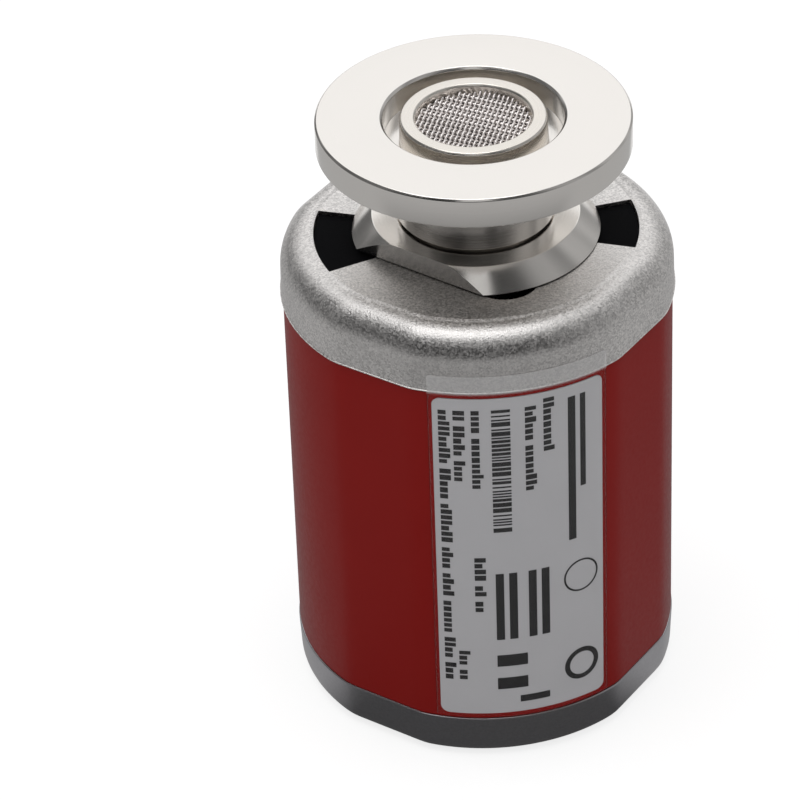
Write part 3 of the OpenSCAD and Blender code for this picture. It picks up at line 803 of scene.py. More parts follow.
FINISHES: tuple[Finish, ...] = (
    TurnedSteel(Slot.STAINLESS, (0.86, 0.83, 0.795), 0.18),
    TurnedSteel(Slot.HOLDER_STEEL, (0.83, 0.79, 0.735), 0.28),
    PlainMetal(Slot.MESH_WIRE, (0.94, 0.89, 0.87), 0.38),
    PlainMetal(Slot.HEADER_METAL, (0.60, 0.60, 0.60), 0.3),
    ClearMoulding(Slot.SEAL_GLASS, (0.25, 0.45, 0.38), 0.06),
    PlainMetal(Slot.FILAMENT_WIRE, (0.45, 0.45, 0.46), 0.3),
    BlastedCasting(Slot.CAST_CAP, (0.79, 0.77, 0.755), 0.41, spark=1.0),
    Moulding(Slot.BLACK_MOULDING, (0.004, 0.004, 0.005), 0.85, specular=0.06),
    SatinPaint(Slot.RED_PAINT, (0.222, 0.006, 0.0045), 0.4),
    PrintedSheet(Slot.LABEL_SHEET, (0.46, 0.455, 0.47), 0.5),
    ClearFilm(Slot.CLEAR_FILM, (0.72, 0.71, 0.71), 0.3),
    BlastedCasting(Slot.CAST_BASE, (0.50, 0.49, 0.51), 0.3, grain=4.0, depth=0.006, spark=0.2),
    PlainMetal(Slot.SCREW_STEEL, (0.45, 0.45, 0.46), 0.32),
    Moulding(Slot.CIRCUIT_BOARD, (0.02, 0.14, 0.06), 0.4),
    Moulding(Slot.SOCKET_PLASTIC, (0.015, 0.015, 0.016), 0.45),
    PlainMetal(Slot.CONTACT_GOLD, (0.80, 0.60, 0.25), 0.25),
    Moulding(Slot.CHIP_PLASTIC, (0.03, 0.03, 0.032), 0.5),
    PlainMetal(Slot.CAN_METAL, (0.60, 0.62, 0.66), 0.3),
    Moulding(Slot.BUTTON_PLASTIC, (0.75, 0.74, 0.70), 0.4),
    ClearMoulding(Slot.LIGHT_LENS, (0.35, 0.75, 0.35), 0.1),
    ClearMoulding(Slot.LIGHT_PIPE, (0.85, 0.87, 0.88), 0.08),
)
INK = PrintedSheet(Slot.LABEL_SHEET, (0.022, 0.021, 0.022), 0.5)


@dataclass
class Gauge:
    """What the sub-assemblies share: the frame and the materials by slot."""

    frame: dict
    materials: dict[Slot, bpy.types.Material] = field(default_factory=dict)

    def mix(self) -> None:
        """Makes every finish."""
        for finish in FINISHES:
            self.materials[finish.slot] = finish.material()

    def dress(self) -> None:
        """Gives each solid of the frame the material of its slot."""
        for row in self.frame["record"]["subparts"]:
            node = self.frame["nodes"][row["node"]]
            node.data.materials.clear()
            node.data.materials.append(self.materials[Slot(row["material_slot"])])

    def finished(self, piece: Piece, slot: Slot, *nodes: str, smooth: float = 32.0,
                 material: Optional[bpy.types.Material] = None) -> Piece:
        """Brings a modelled piece to metres, dresses it and puts it on the gauge.

        Args:
            piece: The modelled piece, in millimetres.
            slot: The record's slot of its finish.
            nodes: Solids of the frame that it stands for.
            smooth: Edges that bend less than this are shaded smooth, degrees.
            material: Its material, where it isn't the slot's own.
        Returns:
            The piece.
        """
        piece.data.transform(Matrix.Scale(MM, 4))
        only(piece)
        bpy.ops.object.shade_smooth_by_angle(angle=math.radians(smooth))
        piece.data.materials.clear()
        piece.data.materials.append(material or self.materials[slot])
        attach(piece, GAUGE_BODY)
        if nodes:
            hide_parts(*nodes)
        return piece


@dataclass
class BodySection:
    """Section of the body: a circle with four flats on its diagonals."""

    flat_depth: float = 0.47
    corner_soft: float = 0.06
    steps: int = 224

    def outline(self, r: float) -> list[Point]:
        """Points of the section.

        Args:
            r: Radius of the round sides.
        Returns:
            The points, round the axis.
        """
        points: list[Point] = []
        for step in range(self.steps):
            angle = math.tau * step / self.steps
            off = (angle % (math.pi / 2)) - math.pi / 4
            flat = (r - self.flat_depth) / math.cos(off)
            both = math.exp(-r / self.corner_soft) + math.exp(-flat / self.corner_soft)
            reach = -self.corner_soft * math.log(both)
            points.append((reach * math.cos(angle), reach * math.sin(angle)))
        return points

    def drawn(self, name: str, profile: Sequence[Point]) -> Piece:
        """Solid of this section whose size follows a profile.

        Args:
            name: Name of the new piece.
            profile: Radius and height of each ring, from the bottom up.
        Returns:
            The closed solid.
        """
        (r, z), *rings = profile
        piece = ring_of(name, [(x, y, z) for x, y in self.outline(r)])
        with editing(piece):
            for next_r, next_z in rings:
                bpy.ops.mesh.extrude_region_move(TRANSFORM_OT_translate={"value": (0, 0, next_z - z)})
                bpy.ops.transform.resize(value=(next_r / r, next_r / r, 1), center_override=(0, 0, 0))
                r, z = next_r, next_z
        clean(piece)
        return piece


@dataclass
class FlangeAssembly:
    """Turned flange, neck and collar, with the filter in its mouth."""

    gauge: Gauge
    rim_h: float = 3.0
    rim_edge: float = 0.12
    neck_r: float = 7.55
    neck_h: float = 7.6
    taper_deg: float = 15.0
    taper_edge: float = 0.24
    undercut: float = 0.7
    undercut_w: float = 0.3
    collar_top_r: float = 9.95
    collar_r: float = 11.9
    collar_h: float = 2.1
    collar_edge: float = 0.02
    collar_land: float = 0.15
    collar_gap: float = 0.1
    collar_seat_r: float = 8.4
    spanner_af: float = 18.8
    spanner_az: float = -137.0
    tube_r: float = 7.0
    bore_r: float = 6.0
    header_r: float = 6.42
    counterbore_r: float = 8.6
    counterbore_depth: float = 2.5
    mouth_break: float = 0.25
    face_break: float = 0.2
    edge: float = 0.06
    holder_slip: float = 0.02
    holder_bore_r: float = 5.5
    holder_throat_r: float = 5.2
    holder_top_r: float = 7.0
    holder_foot_r: float = 7.05
    holder_break: float = 0.2
    warp_pitch: float = 1.058
    warp_wire: float = 0.36
    weft_pitch: float = 0.243
    weft_wire: float = 0.238
    weft_steps: int = 12
    weft_least_steps: int = 4
    wire_smooth: float = 60.0
    mesh_turn: float = -37.7

    def build(self) -> list[Piece]:
        """Builds the turned pieces and the woven filter."""
        return [self.flange(), self.holder(), self.weave()]

    def flange(self) -> Piece:
        """Flange, neck, collar and tube, turned as one, with two milled flats.

        Returns:
            The flange.
        """
        low, high = span("flange_tube")
        header_top = span("sensor_header")[1].z
        rim_r, face = high.x, high.z
        floor = face - self.counterbore_depth
        rim = face - self.rim_h
        collar = rim - self.neck_h
        foot = collar - self.collar_h
        taper = rim - (rim_r - self.neck_r) * math.tan(math.radians(self.taper_deg))
        neck_foot = self.neck_r - self.undercut
        piece = turned("clamp_flange", [
            Corner(self.header_r, low.z),
            Corner(self.header_r, header_top),
            Corner(self.bore_r, header_top),
            Corner(self.bore_r, floor, self.edge),
            Corner(self.counterbore_r, floor, self.edge),
            Corner(self.counterbore_r, face - self.mouth_break, self.edge),
            Corner(self.counterbore_r + self.mouth_break, face, self.edge),
            Corner(rim_r - self.face_break, face, self.edge),
            Corner(rim_r, face - self.face_break, self.edge),
            Corner(rim_r, rim, self.rim_edge),
            Corner(self.neck_r, taper, self.taper_edge),
            Corner(self.neck_r, collar + self.undercut_w, self.edge),
            Corner(neck_foot, collar + self.undercut_w),
            Corner(neck_foot, collar),
            Corner(self.collar_top_r, collar, self.edge),
            Corner(self.collar_r, foot + self.collar_land, self.collar_edge),
            Corner(self.collar_r, foot + self.collar_gap),
            Corner(self.collar_seat_r, foot + self.collar_gap),
            Corner(self.collar_seat_r, foot),
            Corner(self.tube_r, foot),
            Corner(self.tube_r, low.z)])
        clear = 2 * self.collar_r
        for turn in BOTH_SIDES:
            side = rectangle(self.spanner_af / 2, clear, -clear, clear)
            block = prism("flat_cutter", side, foot - OVERRUN, collar + OVERRUN)
            block.data.transform(Matrix.Rotation(math.radians(self.spanner_az + turn), 4, "Z"))
            work(piece, block, Tool.CUT)
        clean(piece)
        return self.gauge.finished(piece, Slot.STAINLESS, "flange_tube")

    def holder(self) -> Piece:
        """Pressed ring that holds the filter.

        Returns:
            The ring.
        """
        low, high = span("filter_holder")
        floor = span("flange_tube")[1].z - self.counterbore_depth
        seat = span("filter_mesh")[0].z
        plug_r = self.bore_r - self.holder_slip
        piece = turned("filter_ring", [
            Corner(self.holder_throat_r, low.z),
            Corner(plug_r, low.z),
            Corner(plug_r, floor),
            Corner(self.holder_foot_r, floor, self.edge),
            Corner(self.holder_top_r, high.z - self.holder_break, self.edge),
            Corner(self.holder_top_r - self.holder_break, high.z, self.edge),
            Corner(self.holder_bore_r + self.holder_break, high.z, self.edge),
            Corner(self.holder_bore_r, high.z - self.holder_break, self.edge),
            Corner(self.holder_bore_r, seat),
            Corner(self.holder_throat_r, seat)])
        return self.gauge.finished(piece, Slot.HOLDER_STEEL, "filter_holder")

    def weave(self) -> Piece:
        """Woven wire disc: straight warp wires, and close weft wires that pass over and under them.

        Returns:
            The disc.
        """
        high = span("filter_mesh")[1]
        middle = high.z - self.weft_wire - self.warp_wire / 2
        swing = (self.warp_wire + self.weft_wire) / 2
        warps = [[Vector((-half, across, middle)), Vector((half, across, middle))]
                 for _, across, half in self.chords(high.x, self.warp_pitch)]
        wefts: list[list[Vector]] = []
        for row, across, half in self.chords(high.x, self.weft_pitch):
            steps = max(self.weft_least_steps, int(2 * half / self.warp_pitch * self.weft_steps))
            weft: list[Vector] = []
            for step in range(steps + 1):
                along = half * (2 * step / steps - 1)
                wave = math.cos(math.pi * (along / self.warp_pitch + row))
                weft.append(Vector((across, along, middle + swing * wave)))
            wefts.append(weft)
        piece = self.wires("woven_filter", self.warp_wire, warps)
        fine = self.wires("weft", self.weft_wire, wefts)
        only(piece)
        fine.select_set(True)
        bpy.ops.object.join()
        piece.data.transform(Matrix.Rotation(math.radians(self.mesh_turn), 4, "Z"))
        clean(piece)
        return self.gauge.finished(piece, Slot.MESH_WIRE, "filter_mesh", smooth=self.wire_smooth)

    @staticmethod
    def chords(reach: float, pitch: float) -> list[tuple[int, float, float]]:
        """Parallel chords of a disc.

        Args:
            reach: Radius of the disc.
            pitch: Distance from one chord to the next.
        Returns:
            Number, distance from the middle and half length of each chord.
        """
        count = int(reach / pitch)
        rows = [(row, row * pitch) for row in range(-count, count + 1)]
        return [(row, across, math.sqrt(reach ** 2 - across ** 2)) for row, across in rows]

    @staticmethod
    def wires(name: str, thick: float, paths: Sequence[Sequence[Vector]]) -> Piece:
        """Round wires along paths.

        Args:
            name: Name of the new piece.
            thick: Thickness of a wire.
            paths: Points of each wire.
        Returns:
            The wires as one mesh.
        """
        curve = bpy.data.curves.new(name, "CURVE")
        curve.dimensions = "3D"
        curve.bevel_depth = thick / 2
        curve.bevel_resolution = 1
        curve.use_fill_caps = True
        for path in paths:
            spline = curve.splines.new("POLY")
            spline.points.add(len(path) - 1)
            for point, place in zip(spline.points, path):
                point.co = (*place, 1.0)
        piece = bpy.data.objects.new(name, curve)
        bpy.context.scene.collection.objects.link(piece)
        only(piece)
        bpy.ops.object.convert(target="MESH")
        return bpy.context.object


@dataclass
class Housing:
    """Cast cap, red sleeve and cast base."""

    gauge: Gauge
    section: BodySection = field(default_factory=BodySection)
    sleeve_t: float = 1.2
    sleeve_edge: float = 0.25
    sleeve_edge_steps: int = 4
    cap_draft: float = 0.15
    shoulder_r: float = 3.1
    shoulder_steps: int = 16
    cap_top_t: float = 2.2
    rim_line: float = 0.2
    rim_land: float = 0.15
    rim_rise: float = 0.1
    top_rings: tuple[float, ...] = (14.0, 11.5, 9.0, 6.0)
    cap_seam_r: float = 0.15
    cap_seam_steps: int = 4
    cap_lip: float = 0.09
    cap_lip_h: float = 0.05
    window_r0: float = 10.5
    window_edge: float = 3.3
    windows: tuple[Point, ...] = ((174.7, 20.2), (-11.2, 15.8))
    bore_r: float = 7.1
    bore_points: int = 96
    notch_r: float = 3.2
    notch_reach: float = 12.8
    notch_x: float = 0.65
    notch_points: int = 64
    boss_r: float = 2.6
    boss_h: float = 6.5
    tie_az: float = -60.0
    tie_inset: float = 3.6
    tie_r: float = 1.5
    tie_grip: float = 0.02
    tie_head_r: float = 2.75
    tie_seat: float = 2.2
    slip: float = 0.1
    spigot_t: float = 1.3
    spigot_lap: float = 3.5
    spigot_root: float = 1.0
    base_seam_r: float = 0.15
    base_seam_steps: int = 6
    base_lip: float = 0.13
    base_edge_r: float = 1.7
    base_edge_steps: int = 10
    base_floor_t: float = 2.6
    pad_wall: float = 1.1
    pad_floor: float = 1.4
    post_r: float = 2.2
    post_screw_r: float = 0.97
    post_y: float = 9.2
    socket_w: float = 16.1
    socket_d: float = 13.4
    pinhole_r: float = 1.1
    pipe_hole_r: float = 1.52
    edge: float = 0.1
    body_r: float = field(init=False)
    spigot_r: float = field(init=False)
    cavity_r: float = field(init=False)

    def __post_init__(self) -> None:
        """Works out the radii that the pieces share."""
        self.body_r = span("body_sleeve")[1].x
        self.spigot_r = self.body_r - self.sleeve_t - self.slip
        self.cavity_r = self.spigot_r - self.spigot_t

    def build(self) -> list[Piece]:
        """Builds the three housing pieces."""
        return [self.cap(), self.sleeve(), self.base()]

    def ties(self) -> list[Point]:
        """Places of the two tie screws.

        Returns:
            The places, seen from above.
        """
        reach = self.body_r - self.sleeve_t - self.tie_inset
        angles = [math.radians(self.tie_az + turn) for turn in BOTH_SIDES]
        return [(reach * math.cos(a), reach * math.sin(a)) for a in angles]

    def cap(self) -> Piece:
        """Cast cap with a round shoulder, windows and a notch, hollow below.

        Returns:
            The cap.
        """
        low, high = span("top_cap")
        z0, z1, low_r = span("body_sleeve")[1].z, high.z, high.x
        side_r = low_r - self.cap_draft
        under = z1 - self.cap_top_t
        side_top = z1 - self.rim_rise - self.shoulder_r
        flat_r = side_r - self.shoulder_r
        rim_r = flat_r - self.rim_line
        seam_z = z0 + self.cap_seam_r
        piece = self.section.drawn("cast_cap", [
            *arc(low_r - self.cap_seam_r, seam_z, self.cap_seam_r, Quarter.UNDER, self.cap_seam_steps),
            (low_r - self.cap_lip, seam_z + self.cap_lip_h),
            *arc(flat_r, side_top, self.shoulder_r, Quarter.OVER, self.shoulder_steps),
            *((r, z1) for r in (rim_r, rim_r - self.rim_land, *self.top_rings))])
        fuse(piece, self.section.outline(self.spigot_r), low.z, z0 + OVERLAP)
        cut(piece, self.section.outline(self.cavity_r), low.z - OVERRUN, under)
        boss_foot = under - self.boss_h
        for x, y in self.ties():
            fuse(piece, circle(x, y, self.boss_r), boss_foot, under + OVERLAP)
            cut(piece, circle(x, y, self.tie_r + self.tie_grip), boss_foot - OVERRUN, under)
        notch_y = self.notch_r - self.notch_reach
        window_r1 = side_r - self.window_edge
        openings = [sector(mid, half, self.window_r0, window_r1) for mid, half in self.windows]
        openings.append(circle(0, 0, self.bore_r, self.bore_points))
        openings.append(circle(self.notch_x, notch_y, self.notch_r, self.notch_points))
        for outline in openings:
            cut(piece, outline, under - OVERRUN, z1 + OVERRUN)
        return self.gauge.finished(piece, Slot.CAST_CAP, "top_cap")

    def sleeve(self) -> Piece:
        """Painted sleeve with four flats.

        Returns:
            The sleeve.
        """
        low, high = span("body_sleeve")
        piece = prism("red_sleeve", self.section.outline(self.body_r), low.z, high.z)
        inner = self.section.outline(self.body_r - self.sleeve_t)
        cut(piece, inner, low.z - OVERRUN, high.z + OVERRUN)
        soften(piece, self.sleeve_edge, self.sleeve_edge_steps)
        return self.gauge.finished(piece, Slot.RED_PAINT, "body_sleeve")

    def base(self) -> Piece:
        """Cast base with a round lower edge, posts and the openings of the underside.

        Returns:
            The base.
        """
        low, high = span("base_cover")
        z0 = span("body_sleeve")[0].z
        board = span("base_board")[0].z
        floor = self.base_floor_t
        edge_r, seam_r = self.base_edge_r, self.base_seam_r
        lip_r = high.x + self.base_lip - seam_r
        piece = self.section.drawn("cast_base", [
            *arc(high.x - edge_r, low.z + edge_r, edge_r, Quarter.UNDER, self.base_edge_steps),
            *arc(lip_r, z0 - seam_r, seam_r, Quarter.OVER, self.base_seam_steps)])
        fuse(piece, self.section.outline(self.spigot_r), z0 - self.spigot_root, z0 + self.spigot_lap)
        cut(piece, self.section.outline(self.cavity_r), floor, board)
        pad_t = self.tie_seat + self.pad_floor
        for x, y in self.ties():
            fuse(piece, circle(x, y, self.tie_head_r + self.pad_wall), floor - OVERLAP, pad_t)
            cut(piece, circle(x, y, self.tie_head_r + self.slip), -OVERRUN, self.tie_seat)
            cut(piece, circle(x, y, self.tie_r + self.slip), -OVERRUN, pad_t + OVERRUN)
        for y in (-self.post_y, self.post_y):
            fuse(piece, circle(0, y, self.post_r), floor - OVERLAP, board)
            cut(piece, circle(0, y, self.post_screw_r), floor, board + OVERRUN)
        half_w, half_d = self.socket_w / 2, self.socket_d / 2
        cut(piece, rectangle(-half_w, half_w, -half_d, half_d), -OVERRUN, floor + OVERRUN)
        for node, r in (("calibration_button", self.pinhole_r), ("light_pipe", self.pipe_hole_r)):
            first, last = span(node)
            place = (first + last) / 2
            cut(piece, circle(place.x, place.y, r), -OVERRUN, floor + OVERRUN)
        soften(piece, self.edge)
        return self.gauge.finished(piece, Slot.CAST_BASE, "base_cover")


class TextLine(NamedTuple):
    """Line of print: its left side, how far below the label's top it starts, and the blocks of its words."""

    column: float
    drop: float
    words: tuple[int, ...]


class Bar(NamedTuple):
    """Bar of print: its two sides, and how far below the label's top it starts and ends."""

    left: float
    right: float
    start: float
    end: float

    def rungs(self, stride: float) -> list[tuple[Point, Point]]:
        """Pairs of points across the bar, from side to side.

        Args:
            stride: Longest way from one pair to the next.
        Returns:
            The pairs, each from the bar's end to its start.
        """
        width = self.right - self.left
        steps = max(1, math.ceil(width / stride))
        places = [self.left + width * step / steps for step in range(steps + 1)]
        return [((u, self.end), (u, self.start)) for u in places]


class Ring(NamedTuple):
    """Ring of print: its middle, how far that lies below the label's top, and its two radii."""

    middle: float
    drop: float
    outer: float
    inner: float

    def rungs(self, steps: int) -> list[tuple[Point, Point]]:
        """Pairs of points across the ring, once round.

        Args:
            steps: Number of pairs in a turn.
        Returns:
            The pairs, each from the outer to the inner edge.
        """
        turns = [math.tau * step / steps for step in range(steps + 1)]
        return [(self.at(self.outer, turn), self.at(self.inner, turn)) for turn in turns]

    def at(self, r: float, turn: float) -> Point:
        """Point of the ring at a radius and a turn."""
        return self.middle + r * math.cos(turn), self.drop - r * math.sin(turn)


@dataclass
class FrontLabel:
    """Label on the front arc, its plain print and the clear film over it."""

    gauge: Gauge
    corner_r: float = 0.8
    film_corner_r: float = 0.3
    film_t: float = 0.08
    film_gap: float = 0.02
    cap_taper: float = 0.05
    spin_steps: int = 288
    seed: int = 7
    line_h: float = 1.1
    lines: tuple[TextLine, ...] = (
        TextLine(-7.9, 1.3, (10, 5, 7, 4, 4, 6, 4, 3)),
        TextLine(-6.5, 1.3, (2, 5, 4)),
        TextLine(-4.8, 1.3, (4, 9)),
        TextLine(-4.8, 18.5, (4, 2, 2)),
        TextLine(-6.5, 29.8, (3, 2)),
        TextLine(0.3, 1.3, (6, 8)),
        TextLine(2.1, 0.7, (9,)))
    block_runs: Range = (0.42, 0.62)
    block_rises: tuple[float, ...] = (0.7, 0.7, 1.0)
    block_gap: float = 0.16
    word_gap: float = 0.5
    stripes: Bar = Bar(-2.9, -1.1, 1.3, 15.4)
    stripe_runs: tuple[float, ...] = (0.18, 0.18, 0.34, 0.5)
    stripe_gaps: tuple[float, ...] = (0.14, 0.14, 0.28)
    rules: tuple[Bar, ...] = (
        Bar(4.6, 5.4, 1.3, 18.0),
        Bar(5.9, 6.5, 1.3, 12.0),
        *(Bar(left, left + 0.8, 20.5, 28.5) for left in (-2.8, -1.5, 0.4, 1.7)),
        Bar(-2.8, 0.2, 30.4, 31.8),
        Bar(-2.8, 0.2, 33.2, 34.6),
        Bar(-0.6, 2.4, 35.6, 36.4))
    rings: tuple[Ring, ...] = (Ring(5.9, 22.6, 1.9, 1.7), Ring(5.9, 33.4, 1.9, 1.35))
    ring_steps: int = 48
    bar_stride: float = 0.6
    ink_t: float = 0.01
    ink_lift: float = 0.7
    low: Vector = field(init=False)
    high: Vector = field(init=False)
    r0: float = field(init=False)
    r1: float = field(init=False)

    def __post_init__(self) -> None:
        """Reads the label's place from the frame."""
        self.low, self.high = span("rating_label")
        self.r0, self.r1 = span("body_sleeve")[1].x, -self.low.y

    def build(self) -> list[Piece]:
        """Builds the label, its print and the film."""
        return [self.stock(), self.ink(), self.film()]

    def patch(self, piece: Piece, w: float, z0: float, z1: float, corner: float) -> None:
        """Cuts a turned shell to a rounded rectangle on the front.

        Args:
            piece: The turned shell.
            w: Width of the rectangle.
            z0: Its foot.
            z1: Its top.
            corner: Radius of its corners.
        """
        tool = prism("patch", rounded_rectangle(w, z1 - z0, corner), 0.0, 2 * self.r0)
        upright = Matrix.Rotation(math.pi / 2, 4, "X")
        tool.data.transform(Matrix.Translation((0, 0, (z0 + z1) / 2)) @ upright)
        clean(tool)
        work(piece, tool, Tool.COMMON)
        clean(piece)

    def stock(self) -> Piece:
        """Plain label stock.

        Returns:
            The stock.
        """
        low, high = self.low.z, self.high.z
        piece = turned("label_stock", [
            Corner(self.r0, low - OVERRUN),
            Corner(self.r1, low - OVERRUN),
            Corner(self.r1, high + OVERRUN),
            Corner(self.r0, high + OVERRUN)], self.spin_steps)
        self.patch(piece, self.high.x - self.low.x, low, high, self.corner_r)
        return self.gauge.finished(piece, Slot.LABEL_SHEET, "rating_label")

    def film(self) -> Piece:
        """Clear film that steps out under the cap's edge and laps onto the cap.

        Returns:
            The film.
        """
        cap_r = span("top_cap")[1].x + self.film_gap
        step = span("body_sleeve")[1].z - self.film_gap
        low, high = span("label_film")
        foot, top = low.z - OVERRUN, high.z + OVERRUN
        draft = self.cap_taper * (top - step)
        r = self.r1 + self.film_gap
        piece = turned("label_film_sheet", [
            Corner(r, foot),
            Corner(r + self.film_t, foot),
            Corner(r + self.film_t, step - self.film_t),
            Corner(cap_r + self.film_t, step - self.film_t),
            Corner(cap_r + self.film_t, step),
            Corner(cap_r + self.film_t - draft, top),
            Corner(cap_r - draft, top),
            Corner(cap_r, step),
            Corner(r, step)], self.spin_steps)
        self.patch(piece, high.x - low.x, low.z, high.z, self.film_corner_r)
        return self.gauge.finished(piece, Slot.CLEAR_FILM, "label_film")

    def words(self, line: TextLine, draw: random.Random) -> list[Bar]:
        """Plain blocks that stand for the words of a line.

        Args:
            line: The line.
            draw: Source of the blocks' sizes.
        Returns:
            The blocks.
        """
        blocks: list[Bar] = []
        drop = line.drop
        for count in line.words:
            for _ in range(count):
                run = draw.uniform(*self.block_runs)
                rise = self.line_h * draw.choice(self.block_rises)
                blocks.append(Bar(line.column, line.column + rise, drop, drop + run))
                drop += run + self.block_gap
            drop += self.word_gap
        return blocks

    def bars(self) -> list[Bar]:
        """All bars of the print: lines of blocks, a field of stripes and plain rules.

        Returns:
            The bars.
        """
        draw = random.Random(self.seed)
        bars = [block for line in self.lines for block in self.words(line, draw)]
        drop = self.stripes.start
        while drop < self.stripes.end:
            run = draw.choice(self.stripe_runs)
            bars.append(Bar(self.stripes.left, self.stripes.right, drop, drop + run))
            drop += run + draw.choice(self.stripe_gaps)
        return [*bars, *self.rules]

    def ink(self) -> Piece:
        """Print on the label, as thin raised ink.

        Returns:
            The print.
        """
        points: list[tuple[float, float, float]] = []
        faces: list[tuple[int, int, int, int]] = []
        strips = [bar.rungs(self.bar_stride) for bar in self.bars()]
        strips += [ring.rungs(self.ring_steps) for ring in self.rings]
        for rungs in strips:
            first = len(points)
            points += [self.bend(*point) for rung in rungs for point in rung]
            faces += [(k, k + 2, k + 3, k + 1) for k in range(first, len(points) - 2, 2)]
        mesh = bpy.data.meshes.new("label_print")
        mesh.from_pydata(points, [], faces)
        piece = bpy.data.objects.new("label_print", mesh)
        bpy.context.scene.collection.objects.link(piece)
        clean(piece)
        modifier = piece.modifiers.new("ink", "SOLIDIFY")
        modifier.thickness = self.ink_t
        modifier.offset = 0.0
        apply(piece, modifier)
        clean(piece)
        return self.gauge.finished(piece, Slot.LABEL_SHEET, material=INK.material())

    def bend(self, u: float, drop: float) -> tuple[float, float, float]:
        """Place on the front of the label of a point of the flat print."""
        r = self.r1 + self.ink_t * self.ink_lift
        return r * math.sin(u / r), -r * math.cos(u / r), self.high.z - drop


@dataclass(frozen=True)
class PhotoCamera:
    """Camera at the photograph's viewing angle, as fitted to the object's edges."""

    distance: float = 0.359718
    height: float = 0.283033
    turn_deg: float = -11.651
    yaw_deg: float = -1.256
    pitch_deg: float = 35.129
    roll_deg: float = -2.124
    lens_mm: float = 201.59
    clip_start: float = 0.01

    def towards(self) -> Vector:
        """Level direction from the object to the camera."""
        turn = math.radians(self.turn_deg)
        return Vector((math.sin(turn), -math.cos(turn), 0.0))

    def build(self) -> None:
        """Adds the camera and makes it the scene's."""
        yaw, pitch, roll = (math.radians(a) for a in (self.yaw_deg, self.pitch_deg, self.roll_deg))
        ahead = Vector((math.sin(yaw) * math.cos(pitch), math.cos(yaw) * math.cos(pitch), -math.sin(pitch)))
        right = Vector((math.cos(yaw), -math.sin(yaw), 0.0))
        up = right.cross(ahead)
        side = right * math.cos(roll) + up * math.sin(roll)
        crown = up * math.cos(roll) - right * math.sin(roll)
        axes = Matrix((side, crown, -ahead)).transposed().to_4x4()
        data = bpy.data.cameras.new("photo_camera")
        data.lens = self.lens_mm
        data.clip_start = self.clip_start
        camera = bpy.data.objects.new("photo_camera", data)
        bpy.context.scene.collection.objects.link(camera)
        turn = Matrix.Rotation(math.radians(self.turn_deg), 4, "Z")
        camera.matrix_world = turn @ Matrix.Translation((0, -self.distance, self.height)) @ axes
        bpy.context.scene.camera = camera


